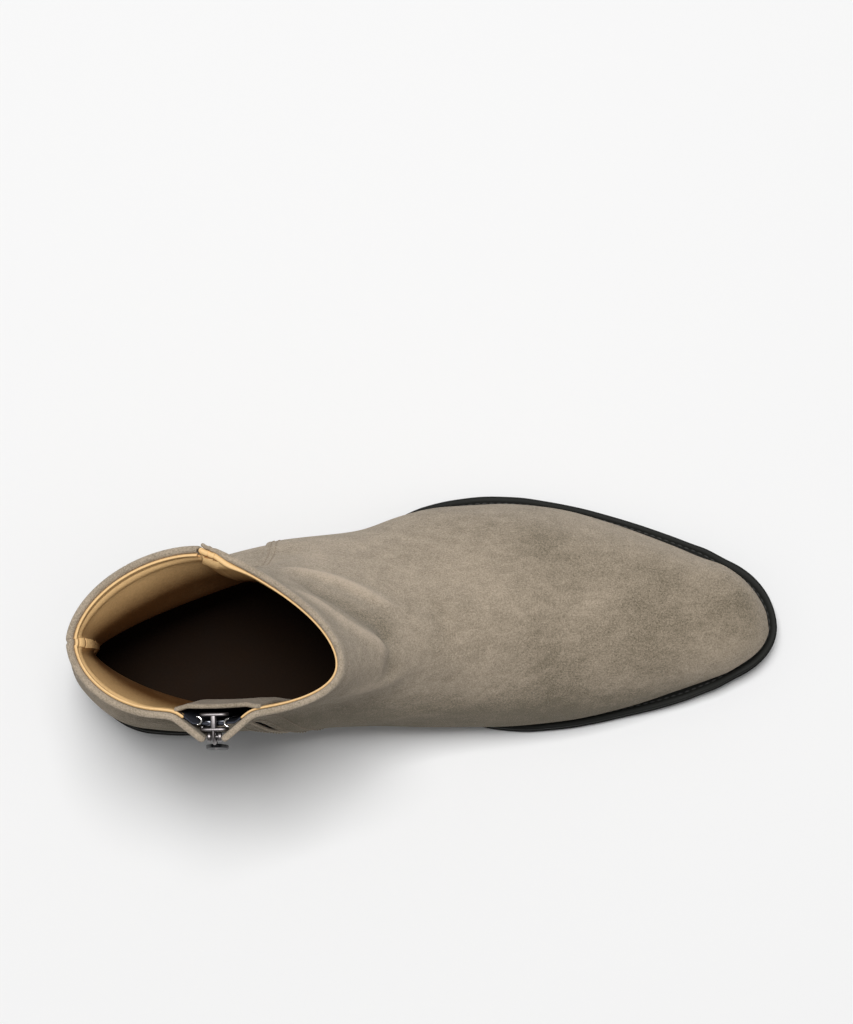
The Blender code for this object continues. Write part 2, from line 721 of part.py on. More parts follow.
def slider_axes():
    """The slider's middle on the upper's face, and its unit axes: forward, outward and up."""
    row = row_at_height(SLIDER_Z)
    centre = zip_surface(row, 0.0, 0.0)
    outward = zip_surface(row, 0.0, 1.0) - centre
    up = zip_surface(row + 0.02, 0.0, 0.0) - zip_surface(row - 0.02, 0.0, 0.0)
    up /= np.linalg.norm(up)
    forward = np.cross(up, outward)
    forward /= np.linalg.norm(forward)
    outward = np.cross(forward, up)
    return centre, forward, outward, up


def box_between(low, high, place):
    """Corners and faces of a box in local (forward, outward, up) millimetres, placed by a function."""
    corners = [(x, y, z) for x in (low[0], high[0]) for y in (low[1], high[1]) for z in (low[2], high[2])]
    faces = [(0, 1, 3, 2), (4, 6, 7, 5), (0, 4, 5, 1), (2, 3, 7, 6), (0, 2, 6, 4), (1, 5, 7, 3)]
    return [place(corner) for corner in corners], faces


def hidden_box(name, low, high, place):
    """A helper solid for a Boolean, kept out of the render."""
    points, faces = box_between(low, high, place)
    obj = make_solid(name, points, faces, bpy.data.materials["gunmetal"])
    BOOT.objects.unlink(obj)
    HELPERS.objects.link(obj)
    obj.hide_render = True
    obj.display_type = "WIRE"
    return obj


def join_boxes(name, boxes, place, material):
    """One solid from overlapping boxes, joined with Booleans."""
    points, faces = box_between(*boxes[0], place)
    solid = make_solid(name, points, faces, material)
    for number, (low, high) in enumerate(boxes[1:]):
        helper = hidden_box(f"{name}_add_{number}", low, high, place)
        joint = solid.modifiers.new(f"add_{number}", "BOOLEAN")
        joint.operation = "UNION"
        joint.solver = "EXACT"
        joint.object = helper
    return solid


def make_slider(material):
    """The slider: two plates joined by a post, with a bridge on the outer plate that holds the pull."""
    centre, forward, outward, up = slider_axes()

    def place(local):
        return centre + forward * local[0] + outward * local[1] + up * local[2]

    half, tall = SLIDER_HALF_WIDTH, SLIDER_HALF_HEIGHT
    inner, outer = SLIDER_INNER_LEVEL, SLIDER_OUTER_LEVEL
    crown = BRIDGE_CROWN
    wide, reach, post = BRIDGE_HALF_WIDTH, BRIDGE_HALF_LENGTH, SLIDER_POST_HALF
    boxes = [
        ((-half, outer, -tall), (half, outer + SLIDER_PLATE, tall)),
        ((-post, inner + BITE, tall - POST_START), (post, outer + BITE, tall - POST_END)),
        ((-half, inner, -tall), (half, inner + SLIDER_PLATE, tall)),
        ((-wide, outer + 2 * BITE, reach - BRIDGE_LEG), (wide, crown - 2 * BITE, reach)),
        ((-wide, outer + 2 * BITE, -reach), (wide, crown - 2 * BITE, -reach + BRIDGE_LEG)),
        ((-wide - BITE, crown - BRIDGE_BAR, -reach - BITE), (wide + BITE, crown, reach + BITE)),
    ]
    return join_boxes("zip_slider", boxes, place, material)


def make_pull(material):
    """The pull: a bar through the slider's bridge and a flat tab, hanging straight down."""
    centre, forward, outward, up = slider_axes()
    pivot = centre + outward * PULL_AXIS_LEVEL
    level_forward = forward * [1.0, 1.0, 0.0]
    level_forward /= np.linalg.norm(level_forward)
    upright = np.array([0.0, 0.0, 1.0])
    level_outward = np.cross(upright, level_forward)
    if np.dot(level_outward, outward) < 0:
        level_outward = -level_outward
    origin = np.array([HEEL_CENTRE_X, 0.0, 0.0])

    def place(local):
        return origin + level_forward * local[0] + level_outward * local[1] + upright * local[2]

    eye_middle = 0.5 * (PULL_BAR_RADIUS + PULL_EYE_LENGTH)
    angles = np.linspace(0.0, 2 * math.pi, PULL_POINTS, endpoint=False) + math.pi / PULL_POINTS
    across, along = np.cos(angles), np.sin(angles)
    stretch = 1.0 / np.maximum(np.abs(across), np.abs(along)) ** PULL_CORNER_POWER
    eye, rim = [], []
    for a, b, k in zip(across, along, stretch):
        eye.append((PULL_EYE_HALF_WIDTH * a * k, (eye_middle - PULL_BAR_RADIUS) * b * k))
        reach = eye_middle + PULL_BAR_RADIUS if b > 0 else PULL_LENGTH - eye_middle
        rim.append((PULL_HALF_WIDTH * a * k, reach * b * k / (1.0 if b > 0 else stretch.max())))
    points = []
    for level in (-PULL_HALF_THICKNESS, PULL_HALF_THICKNESS):
        for outline in (rim, eye):
            points += [place((x, level, z - eye_middle)) for x, z in outline]
    faces = []
    for i in range(PULL_POINTS):
        j = (i + 1) % PULL_POINTS
        rim_low, eye_low, rim_high, eye_high = (k * PULL_POINTS for k in range(4))
        for one, two in ((rim_low, eye_low), (eye_low, eye_high), (eye_high, rim_high), (rim_high, rim_low)):
            faces.append([one + i, one + j, two + j, two + i])
    pull = make_solid("zip_pull", points, faces, material)
    pull.location = [(pivot[0] - HEEL_CENTRE_X) * MM, pivot[1] * MM, pivot[2] * MM]
    return pull


def clear_scene():
    """Starts from an empty scene, with one collection for the boot and one for Boolean helpers."""
    for obj in list(bpy.data.objects):
        bpy.data.objects.remove(obj, do_unlink=True)
    made = []
    for name in ("ankle_boot", "helpers"):
        collection = bpy.data.collections.new(name)
        bpy.context.scene.collection.children.link(collection)
        made.append(collection)
    return made


BOOT, HELPERS = clear_scene()
SUEDE = make_material("suede", (0.30, 0.25, 0.19), 0.95)
SOLE_BLACK = make_material("black_rubber", (0.015, 0.015, 0.013), 0.6)
WELT_BLACK = make_material("black_leather", (0.02, 0.02, 0.018), 0.5)
MIDSOLE_TAN = make_material("midsole", (0.20, 0.12, 0.06), 0.9)
INSOLE_BLACK = make_material("insole_leather", (0.01, 0.006, 0.004), 0.5)
TAPE_BLACK = make_material("zip_tape", (0.012, 0.012, 0.012), 0.8)
GUNMETAL = make_material("gunmetal", (0.10, 0.10, 0.10), 0.35, 1.0)

make_upper(SUEDE)
make_outsole(SOLE_BLACK)
make_welt(WELT_BLACK)
make_midsole(MIDSOLE_TAN)
make_insole(INSOLE_BLACK)
make_heel(WELT_BLACK, SOLE_BLACK)
make_zip_guard(SUEDE)
make_zip_tape("zip_tape_front", 1, TAPE_BLACK)
make_zip_tape("zip_tape_rear", -1, TAPE_BLACK)
make_slider(GUNMETAL)
make_pull(GUNMETAL)
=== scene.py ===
"""Looks of a left zip ankle boot in taupe suede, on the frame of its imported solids.

Sizes are millimetres in the boot's own table frame, with x counted from the back of the heel, y to the outer
(little toe) side and z from the floor. place() turns them into metres about the origin under the heel.
"""

from __future__ import annotations

import logging
import math
from collections.abc import Callable, Sequence
from dataclasses import dataclass, field
from enum import Enum
from typing import ClassVar

import bpy
import numpy as np
from mathutils import Matrix, Vector


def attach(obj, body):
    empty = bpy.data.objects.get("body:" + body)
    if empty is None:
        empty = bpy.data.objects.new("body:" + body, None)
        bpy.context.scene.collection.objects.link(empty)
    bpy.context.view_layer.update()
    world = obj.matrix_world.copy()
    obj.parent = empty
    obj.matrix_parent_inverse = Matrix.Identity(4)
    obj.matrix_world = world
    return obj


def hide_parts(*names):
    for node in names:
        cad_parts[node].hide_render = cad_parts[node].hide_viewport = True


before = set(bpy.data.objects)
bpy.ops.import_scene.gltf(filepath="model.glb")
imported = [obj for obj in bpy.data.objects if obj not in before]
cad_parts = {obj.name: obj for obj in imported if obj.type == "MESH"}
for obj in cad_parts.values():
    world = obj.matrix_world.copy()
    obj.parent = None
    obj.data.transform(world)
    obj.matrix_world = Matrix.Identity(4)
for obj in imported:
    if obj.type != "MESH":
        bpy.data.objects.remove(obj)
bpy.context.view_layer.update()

LOG = logging.getLogger("ankle_boot")
MM = 0.001
FULL_TURN = 2 * math.pi
FAR = 99.0
TINY = 1e-12
Array = np.ndarray
Socket = bpy.types.NodeSocket
Triple = tuple[float, float, float]
Colour = Triple
Range = tuple[float, float]
Pairs = tuple[Range, ...]
HEEL_CENTRE_X = 36.0
BOOT = "boot"
PULL = "pull"
SHEET_CREASE = 70.0
TOOTH_CREASE = 40.0
UPRIGHT = (0, 2, 1)

SOLE_LENGTH = 297.5
GAP = 0.3
OUTSOLE_THICKNESS = 4.5
WELT_THICKNESS = 3.0
WELT_INSET = 0.5
WELT_WIDTH = 10.0
HEEL_SEAT_Z = 24.5
TREAD_START_X = 176.0
TREAD_END_X = 206.0
TOE_SPRING = 10.0
TOE_SPRING_POWER = 1.9
ARCH_START_X = 50.0
HEEL_BREAST_X = 72.0
HEEL_TAPER = 1.6
HEEL_INSET = 0.6
TOP_PIECE_THICKNESS = 6.0
HEEL_ROUND = 27.0
TOE_ROUND = 22.0
TOE_REACH = 1.0
RIDGE_POINTS = 1200
SOLE_FOLLOW_POWER = 1.6
SOLE_HEEL_ROUND = 28.0
SOLE_TOE_ROUND = 30.0
TOE_TIP_Y = -2.5
SHAFT_START = 0.26
SHAFT_FULL = 0.72
BACK_ROW_POWER = 1.3
RIDGE_SLOPE_BEHIND = 3.5
COLLAR_Z = 150.0
COLLAR_STEP = 2.6
COLLAR_STEP_START = 0.86
SEAM_STEP = 1.2
SEAM_FADE = 0.16
ZIP_END = 0.1319
ZIP_HALF_GAP = 2.4
ZIP_HALF_GAP_TOP = 5.2
FLAP_REACH = 16.0
FLAP_LIFT = 1.2
FLAP_LIFT_TOP = 12.4
FLAP_FADE = 0.25

# The centre line of the upper over the toe, vamp and instep, up to the front of the collar.
FRONT_PROFILE = (
    # x, y, z
    (294.0, -2.5, 17.4),
    (294.8, -2.5, 22.0),
    (291.0, -2.3, 29.0),
    (282.0, -2.0, 35.0),
    (262.0, -1.0, 41.0),
    (232.0, 0.0, 48.0),
    (200.0, 0.0, 57.5),
    (174.0, -2.0, 68.0),
    (154.0, -5.0, 79.0),
    (139.0, -9.0, 92.0),
    (126.5, -12.5, 112.0),
    (118.5, -15.5, 132.0),
    (113.5, -17.0, 150.0),
)

# The back seam, from the heel seat up to the back of the collar.
BACK_PROFILE = (
    # x, y, z
    (4.0, 0.0, 32.6),
    (0.0, 0.0, 40.0),
    (-1.8, 0.0, 52.0),
    (0.8, -0.2, 67.0),
    (5.0, -0.8, 82.0),
    (8.6, -1.4, 100.0),
    (9.2, -1.8, 118.0),
    (7.8, -2.1, 134.0),
    (6.3, -2.2, 148.0),
)

# Half widths of the foot at its widest, the tuck at the sole, and the powers that round it over on top.
FOOT_SECTIONS = (
    # x, outer, inner, outer tuck, inner tuck, bulge height, outer power, inner power
    (4.0, 25.0, 25.0, 2.0, 2.0, 18.0, 2.0, 2.0),
    (20.0, 30.0, 29.5, 2.0, 2.0, 18.0, 2.0, 2.0),
    (45.0, 34.0, 33.5, 2.0, 2.5, 18.0, 2.0, 2.0),
    (70.0, 37.0, 35.0, 3.0, 6.0, 20.0, 1.9, 2.0),
    (100.0, 42.5, 35.5, 4.0, 10.0, 22.0, 1.7, 2.1),
    (120.0, 47.5, 35.5, 3.0, 10.0, 21.0, 1.6, 2.2),
    (140.0, 54.0, 36.0, 2.0, 7.0, 16.0, 1.55, 2.3),
    (160.0, 57.5, 36.5, 1.6, 2.5, 12.0, 1.6, 2.4),
    (180.0, 58.2, 37.0, 1.5, 1.5, 9.0, 1.65, 2.4),
    (204.0, 55.5, 36.0, 1.4, 1.4, 8.0, 1.8, 2.4),
    (230.0, 48.5, 32.5, 1.3, 1.3, 7.0, 2.0, 2.4),
    (255.0, 38.6, 26.6, 1.2, 1.2, 6.5, 2.2, 2.4),
    (270.0, 31.4, 22.4, 1.2, 1.2, 6.0, 2.2, 2.3),
    (283.0, 26.8, 18.6, 1.2, 1.2, 6.0, 2.1, 2.2),
    (294.0, 23.5, 17.5, 1.2, 1.2, 6.0, 2.0, 2.0),
)

# Rings of the shaft. Each side is widest at its peak, as a share of the way from the back to the front.
SHAFT_RINGS = (
    # row, outer, peak, back, front, root, inner, peak, back, front, root
    (0.40, 36.5, 0.52, 1.60, 1.30, 2.0, 34.0, 0.45, 2.0, 2.0, 2.0),
    (0.62, 32.0, 0.58, 1.22, 1.35, 2.0, 28.0, 0.42, 1.5, 2.0, 2.0),
    (0.84, 34.0, 0.52, 1.30, 1.28, 1.9, 25.5, 0.36, 1.6, 2.1, 2.1),
    (1.00, 41.3, 0.50, 1.65, 1.20, 1.9, 27.0, 0.30, 2.0, 2.2, 2.2),
)

# The edge of the outsole.
SOLE_SECTIONS = (
    # x, outer, inner
    (0.0, 26.0, 26.0),
    (20.0, 31.0, 30.5),
    (45.0, 34.5, 33.5),
    (72.0, 36.0, 32.0),
    (95.0, 39.5, 27.0),
    (115.0, 45.5, 24.5),
    (135.0, 54.5, 25.5),
    (150.0, 60.6, 29.0),
    (163.0, 63.1, 33.8),
    (175.0, 63.9, 37.3),
    (190.0, 62.8, 39.0),
    (204.0, 60.0, 38.6),
    (217.0, 56.6, 37.2),
    (230.0, 52.2, 35.1),
    (243.0, 47.2, 32.9),
    (255.0, 42.0, 30.2),
    (268.0, 36.0, 26.2),
    (280.0, 31.6, 23.2),
    (297.5, 30.6, 22.6),
)


class Seam(Enum):
    """A line down the upper: x at the collar, slope and curve per mm of drop, and its side of the boot."""

    OUTER = (61.0, 0.36, -0.0012, 1)
    ZIP = (61.3, 0.08, 0.0017, -1)


class UpperPart(Enum):
    """One of the two pieces of suede that the upper is cut from."""

    FRONT = "front"
    REAR = "rear"


def smoothstep(low: float, high: float, value: Array | float) -> Array:
    """A soft S: 0 below low, 1 above high, and three squares less two cubes of the share between.

    Args:
        low: Where the S starts.
        high: Where the S ends.
        value: Numbers to read it at.

    Returns:
        The S at each value.
    """
    share = np.clip((np.asarray(value, float) - low) / (high - low), 0.0, 1.0)
    return share * share * (3.0 - 2.0 * share)


def unit(vectors: Array) -> Array:
    """Each vector divided by its length.

    Args:
        vectors: Any array of 3-D vectors.

    Returns:
        The unit vectors.
    """
    return vectors / np.maximum(np.linalg.norm(vectors, axis=-1, keepdims=True), TINY)


def through(xs: Sequence[float], ys: Sequence[float], x: Array | float) -> Array:
    """A smooth curve through table points that never overshoots them (a monotone cubic).

    Args:
        xs: Rising places of the table.
        ys: Values at those places.
        x: Where to read the curve.

    Returns:
        The curve at each x.
    """
    places, values = np.asarray(xs, float), np.asarray(ys, float)
    step = np.diff(places)
    slope = np.diff(values) / step
    before = 2 * step[1:] + step[:-1]
    after = step[1:] + 2 * step[:-1]
    product = slope[:-1] * slope[1:]
    safe_low = np.where(slope[:-1] == 0, 1.0, slope[:-1])
    safe_high = np.where(slope[1:] == 0, 1.0, slope[1:])
    total = before / safe_low + after / safe_high
    inner = np.where(product > 0, (before + after) / np.where(product > 0, total, 1.0), 0.0)
    tangent = np.concatenate([[slope[0]], inner, [slope[-1]]])
    x = np.clip(np.asarray(x, float), places[0], places[-1])
    i = np.clip(np.searchsorted(places, x, side="right") - 1, 0, len(places) - 2)
    u = (x - places[i]) / step[i]
    return (
        (1 + 2 * u) * (1 - u) ** 2 * values[i]
        + u * (1 - u) ** 2 * step[i] * tangent[i]
        + u * u * (3 - 2 * u) * values[i + 1]
        + u * u * (u - 1) * step[i] * tangent[i + 1]
    )


def round_end(distance: Array | float, radius: float) -> Array:
    """A quarter circle: 0 at the end of an outline and 1 from the radius on.

    Args:
        distance: Distances from the end.
        radius: Where the rounding is over.

    Returns:
        The share of the full width.
    """
    share = np.clip(np.asarray(distance, float) / radius, 0.0, 1.0)
    return np.sqrt(np.clip(1.0 - (1.0 - share) ** 2, 0.0, 1.0))


def bell(distance: Array | float, width: float) -> Array:
    """A bell curve, 1 in the middle: e to the minus square of the distance over the width."""
    return np.exp(-((distance / width) ** 2))


def turns(count: int) -> Array:
    """Even angles once round a circle, in radians."""
    return np.linspace(0.0, FULL_TURN, count, endpoint=False)


def there_and_back(way: Array, start: Array, length: Array) -> Array:
    """From the start over a length and back again, by a cosine of the way round."""
    return start + length * 0.5 * (1.0 - np.cos(way))


def side_of(way: Array) -> Array:
    """1 on the outer half of the way round, and -1 on the inner half."""
    return np.where(way < math.pi, 1, -1)


def run_of(points: Array) -> Array:
    """Length along a line of points, from 0 at the first."""
    return np.concatenate([[0.0], np.cumsum(np.linalg.norm(np.diff(points, axis=0), axis=1))])


def read_line(at: Array, run: Array, points: Array) -> Array:
    """Points of a line at lengths along it, between its own points by straight steps."""
    return np.stack([np.interp(at, run, points[:, k]) for k in range(3)], -1)


def signed_power(values: Array, power: float) -> Array:
    """Each value's size raised to a power, with its sign kept."""
    return np.sign(values) * np.abs(values) ** power


def place(points: Array) -> Array:
    """Table millimetres turned into metres about the origin under the heel."""
    return (np.asarray(points, float) - [HEEL_CENTRE_X, 0.0, 0.0]) * MM


class Last:
    """The form of the boot: its sole, foot and shaft as functions of place."""

    def __init__(self) -> None:
        """Works out the front ridge that the foot's top is measured against."""
        self.foot = np.array(FOOT_SECTIONS)
        self.rings = np.array(SHAFT_RINGS)
        self.sole = np.array(SOLE_SECTIONS)
        ridge = self.along(FRONT_PROFILE, np.linspace(0.0, 1.0, RIDGE_POINTS))
        self.ridge = ridge[np.argmax(ridge[:, 0]) :][::-1]

    @staticmethod
    def along(profile: Sequence[Sequence[float]], share: Array) -> Array:
        """The point at a share of a profile's length, each coordinate by its own smooth curve.

        Args:
            profile: Rows of x, y and z.
            share: Shares of the length, 0 to 1.

        Returns:
            Points, with x, y and z last.
        """
        points = np.array(profile)
        lengths = run_of(points)
        reach = np.asarray(share, float) * lengths[-1]
        return np.stack([through(lengths, points[:, k], reach) for k in range(3)], -1)

    @staticmethod
    def sole_bottom(x: Array) -> Array:
        """Height of the outsole's underside: a soft S down the arch, then a power curve for toe spring."""
        x = np.asarray(x, float)
        arch = HEEL_SEAT_Z * (1.0 - smoothstep(ARCH_START_X, TREAD_START_X, x))
        ahead = np.clip(x - TREAD_END_X, 0.0, None) / (SOLE_LENGTH - TREAD_END_X)
        return arch + TOE_SPRING * ahead**TOE_SPRING_POWER

    def welt_bottom(self, x: Array) -> Array:
        """Height of the welt's underside."""
        return self.sole_bottom(x) + OUTSOLE_THICKNESS + GAP

    def feather(self, x: Array) -> Array:
        """Height at which the upper meets the welt."""
        return self.welt_bottom(x) + WELT_THICKNESS + GAP

    def sole_edge(self, x: Array, side: Array | int, inset: Array | float) -> Array:
        """Y of the sole's edge: the table's half width less the inset, with a quarter circle at each end.

        Args:
            x: Places along the sole.
            side: 1 on the outer side and -1 on the inner side.
            inset: How far in from the edge.

        Returns:
            Y at each place.
        """
        outer = through(self.sole[:, 0], self.sole[:, 1], x)
        inner = through(self.sole[:, 0], self.sole[:, 2], x)
        half = np.where(np.asarray(side) > 0, outer, inner) - inset
        heel, toe = round_end(x - inset, SOLE_HEEL_ROUND), round_end(SOLE_LENGTH - inset - x, SOLE_TOE_ROUND)
        return TOE_TIP_Y * x / SOLE_LENGTH + side * half * heel * toe

    def foot_half_width(self, x: Array, z: Array, side: int) -> Array:
        """Half width of the foot: tucked in by a square at the sole, then rounded over by a power and a root.

        Args:
            x: Places along the foot.
            z: Heights from the floor.
            side: 1 on the outer side and -1 on the inner side.

        Returns:
            The half width at each place.
        """
        xs = self.foot[:, 0]
        width, tuck, power = (through(xs, self.foot[:, k if side > 0 else k + 1], x) for k in (1, 3, 6))
        bulge = through(xs, self.foot[:, 5], x)
        over = z - self.feather(x)
        low = np.clip(1.0 - over / bulge, 0.0, 1.0)
        behind = np.clip(self.ridge[0, 0] - x, 0.0, None)
        top = np.interp(x, self.ridge[:, 0], self.ridge[:, 2]) + RIDGE_SLOPE_BEHIND * behind
        span = np.maximum(top - self.feather(x) - bulge, 1.0)
        high = np.clip((over - bulge) / span, 0.0, 1.0)
        return (width - tuck * low**2) * np.sqrt(np.clip(1.0 - high**power, 0.0, 1.0))

    def shaft_half_width(self, along: Array, row: Array, side: int) -> Array:
        """Half width of a ring of the shaft: two power curves that meet at its peak.

        Args:
            along: Share of the way from the back to the front.
            row: Share of the way from the sole to the collar.
            side: 1 on the outer side and -1 on the inner side.

        Returns:
            The half width at each place.
        """
        first = 1 if side > 0 else 6
        columns = (self.rings[:, first + k] for k in range(5))
        width, peak, back, front, root = (through(self.rings[:, 0], column, row) for column in columns)
        behind = np.clip((peak - along) / peak, 0.0, 1.0)
        ahead = np.clip((along - peak) / (1.0 - peak), 0.0, 1.0)
        rear = np.clip(1.0 - behind**back, 0.0, 1.0) ** (1.0 / back)
        fore = np.clip(1.0 - ahead**front, 0.0, 1.0) ** (1.0 / root)
        return width * np.where(along < peak, rear, fore)

    def upper(self, row: Array, around: Array) -> Array:
        """A point of the upper's plain outer face: a chord from back to front, widened by foot and shaft.

        Args:
            row: 0 at the sole and 1 at the collar.
            around: 0 at the front, 1 at the back by the outer side, -1 at the back by the inner side, and
                from 1 to 2 on from the back to the front again by the inner side.

        Returns:
            Points in table millimetres.
        """
        row, around = np.broadcast_arrays(np.asarray(row, float), np.asarray(around, float))
        inner_side = (around < 0.0) | (around > 1.0)
        turn = np.where(around > 1.0, 2.0 - around, np.abs(around))
        front = self.along(FRONT_PROFILE, row)
        back = self.along(BACK_PROFILE, np.clip(row, 0.0, None) ** BACK_ROW_POWER)
        share = 0.5 * (1.0 + np.cos(math.pi * turn))
        middle = back + (front - back) * share[..., None]
        ends_x = BACK_PROFILE[0][0], FRONT_PROFILE[0][0]
        sole_x = ends_x[0] + (ends_x[1] - ends_x[0]) * share
        ends_z = self.feather(ends_x[0]), self.feather(ends_x[1])
        sole_chord = ends_z[0] + (ends_z[1] - ends_z[0]) * share
        x = middle[..., 0]
        z = middle[..., 2] + (self.feather(sole_x) - sole_chord) * (1.0 - row) ** SOLE_FOLLOW_POWER
        heel = round_end(x - back[..., 0], HEEL_ROUND)
        toe = np.where(share > 0.5, round_end(ends_x[1] + TOE_REACH - x, TOE_ROUND), 1.0)
        blend = smoothstep(SHAFT_START, SHAFT_FULL, row)
        halves = []
        for side in (1, -1):
            foot = self.foot_half_width(x, z, side) * heel * toe
            shaft = self.shaft_half_width(share, row, side)
            halves.append(foot * (1.0 - blend) + shaft * blend)
        half = np.where(inner_side, -halves[1], halves[0]) * (np.sin(math.pi * turn) > 1e-9)
        return np.stack([x, middle[..., 1] + half, z], -1)


class SeamField:
    """Distances along the upper's rows from one seam, kept as two tables that are read in between."""

    ROWS = 161
    TURNS = 360
    REACH = 60.0
    STEP = 0.5
    ENDS = (0.02, 0.98)

    def __init__(self, last: Last, seam: Seam) -> None:
        """Measures each row's length from the seam, then turns the table round.

        Args:
            last: The form of the boot.
            seam: The seam to measure from.
        """
        at_collar, slope, curve, side = seam.value
        rows = np.linspace(0.0, 1.0, self.ROWS)
        self.turns = np.linspace(*self.ENDS, self.TURNS)
        points = last.upper(rows[:, None], side * self.turns[None, :])
        drop = np.clip(COLLAR_Z - points[..., 2], 0.0, None)
        ahead_of_seam = points[..., 0] - (at_collar + slope * drop + curve * drop**2)
        steps = np.linalg.norm(np.diff(points, axis=1), axis=2)
        run = np.concatenate([np.zeros((self.ROWS, 1)), np.cumsum(steps, axis=1)], axis=1)
        self.distances = np.arange(-self.REACH, self.REACH + self.STEP, self.STEP)
        here = [np.interp(0.0, -gap, length) for gap, length in zip(ahead_of_seam, run)]
        self.distance_table = np.array(here)[:, None] - run
        self.turn_table = np.array(
            [np.interp(at - self.distances, length, self.turns) for at, length in zip(here, run)]
        )

    @staticmethod
    def _read(table: Array, row: Array, place_in_row: Array) -> Array:
        """Reads a table between its places, as the mean of its four neighbours weighted by nearness."""
        r = np.clip(row, 0.0, 1.0) * (table.shape[0] - 1)
        c = np.clip(place_in_row, 0.0, table.shape[1] - 1.001)
        r0 = np.minimum(r.astype(int), table.shape[0] - 2)
        c0 = c.astype(int)
        u, v = r - r0, c - c0
        low = table[r0, c0] * (1 - v) + table[r0, c0 + 1] * v
        high = table[r0 + 1, c0] * (1 - v) + table[r0 + 1, c0 + 1] * v
        return low * (1 - u) + high * u

    def distance(self, row: Array, turn: Array) -> Array:
        """Distance in front of the seam (+) or behind it (-), in mm along the row."""
        step = self.turns[1] - self.turns[0]
        row, turn = np.broadcast_arrays(np.asarray(row, float), np.asarray(turn, float))
        return self._read(self.distance_table, row, (turn - self.turns[0]) / step)

    def turn(self, row: Array, distance: Array | float) -> Array:
        """The turn at a distance in front of the seam (+) or behind it (-)."""
        row, distance = np.broadcast_arrays(np.asarray(row, float), np.asarray(distance, float))
        return self._read(self.turn_table, row, (distance + self.REACH) / self.STEP)


@dataclass(frozen=True)
class SoftFold:
    """A soft ridge (height above 0) or trough of the suede along a line of points on the upper, in mm, with a
    painted highlight along a ridge and painted shade in a trough.
    """

    POINTS: ClassVar[int] = 17
    END: ClassVar[float] = 0.3

    line: tuple[Triple, ...]
    height: float
    width: float
    # Painted highlight along a ridge (+) and painted shade in a trough (-).
    tone_and_painted_light: float = 0.0

    def share(self, points: Array) -> Array:
        """How much of the fold is at each point: a bell curve across its line, dying away at both ends.

        Args:
            points: Points of the upper, in mm.

        Returns:
            0 to 1 at each point.
        """
        fine = Last.along(self.line, np.linspace(0.0, 1.0, self.POINTS))
        nearest = np.full(points.shape[:-1], np.inf)
        where = np.zeros(points.shape[:-1])
        for number, (start, end) in enumerate(zip(fine[:-1], fine[1:])):
            run = end - start
            u = np.clip(((points - start) @ run) / (run @ run), 0.0, 1.0)
            gap = np.linalg.norm(points - start - u[..., None] * run, axis=-1)
            closer = gap < nearest
            nearest = np.where(closer, gap, nearest)
            where = np.where(closer, (number + u) / (len(fine) - 1), where)
        ends = smoothstep(0.0, self.END, where) * smoothstep(0.0, self.END, 1.0 - where)
        return bell(nearest, self.width) * ends


@dataclass(frozen=True)
class StainAndLightPatch:
    """A patch of the suede made lighter or darker: middle and reach in mm, and how much lighter it is. Some
    are real stains and lighter patches of the suede, and some are painted light.
    """

    middle: Triple
    reach: float
    tone_and_painted_light: float


@dataclass(frozen=True)
class Bulge:
    """A fuller (+) or drawn-in (-) spot of the outer wall: its middle, its reach and its height in mm."""

    x: float
    z: float
    reach_x: float
    reach_z: float
    height: float

    def at(self, x: Array, z: Array) -> Array:
        """Its height at each place, by a bell curve in x and z."""
        return self.height * bell(x - self.x, self.reach_x) * bell(z - self.z, self.reach_z)


QUARTER_BULGE = Bulge(80.0, 52.0, 28.0, 30.0, 3.2)
WAIST_DRAW = Bulge(124.0, 34.0, 16.0, 22.0, -2.2)

# Soft folds of the suede; the last number of each is its painted highlight (+) or painted shade (-).
FOLDS = (
    SoftFold(
        (
            (84.0, 29.0, 106.0), (97.0, 24.6, 93.0), (112.7, 20.1, 88.7),
            (126.4, 12.9, 88.2), (140.0, 5.0, 84.5),
        ),
        height=2.1, width=3.4, tone_and_painted_light=1.0,
    ),
    SoftFold(
        (
            (88.0, 21.0, 126.0), (104.9, 7.5, 126.7), (114.3, 0.4, 123.0),
            (125.5, -6.4, 111.1), (137.5, -13.0, 94.0),
        ),
        height=2.0, width=3.5, tone_and_painted_light=0.95,
    ),
    SoftFold(
        (
            (92.0, 24.0, 106.0), (104.0, 15.5, 105.0), (117.0, 7.5, 105.0),
            (128.0, 1.0, 100.0), (139.0, -3.0, 90.0),
        ),
        height=-2.2, width=6.0, tone_and_painted_light=-0.65,
    ),
    SoftFold(
        ((127.0, 2.0, 105.0), (130.5, -6.0, 102.0), (132.0, -15.0, 100.0), (132.4, -21.0, 89.0)),
        height=-2.0, width=5.0, tone_and_painted_light=-0.6,
    ),
    SoftFold(
        ((106.0, -27.5, 132.0), (116.0, -25.0, 110.0), (126.0, -22.5, 95.0), (140.0, -20.5, 82.0)),
        height=1.5, width=5.5, tone_and_painted_light=0.35,
    ),
    SoftFold(
        ((148.0, 14.0, 76.0), (153.0, 2.0, 79.0), (155.0, -10.0, 76.5)),
        height=-0.8, width=6.0, tone_and_painted_light=-0.15,
    ),
    SoftFold(
        ((70.0, 36.0, 60.0), (80.0, 36.5, 66.0), (92.0, 34.0, 68.0), (106.0, 31.0, 68.0)),
        height=-1.3, width=6.0, tone_and_painted_light=-0.2,
    ),
)

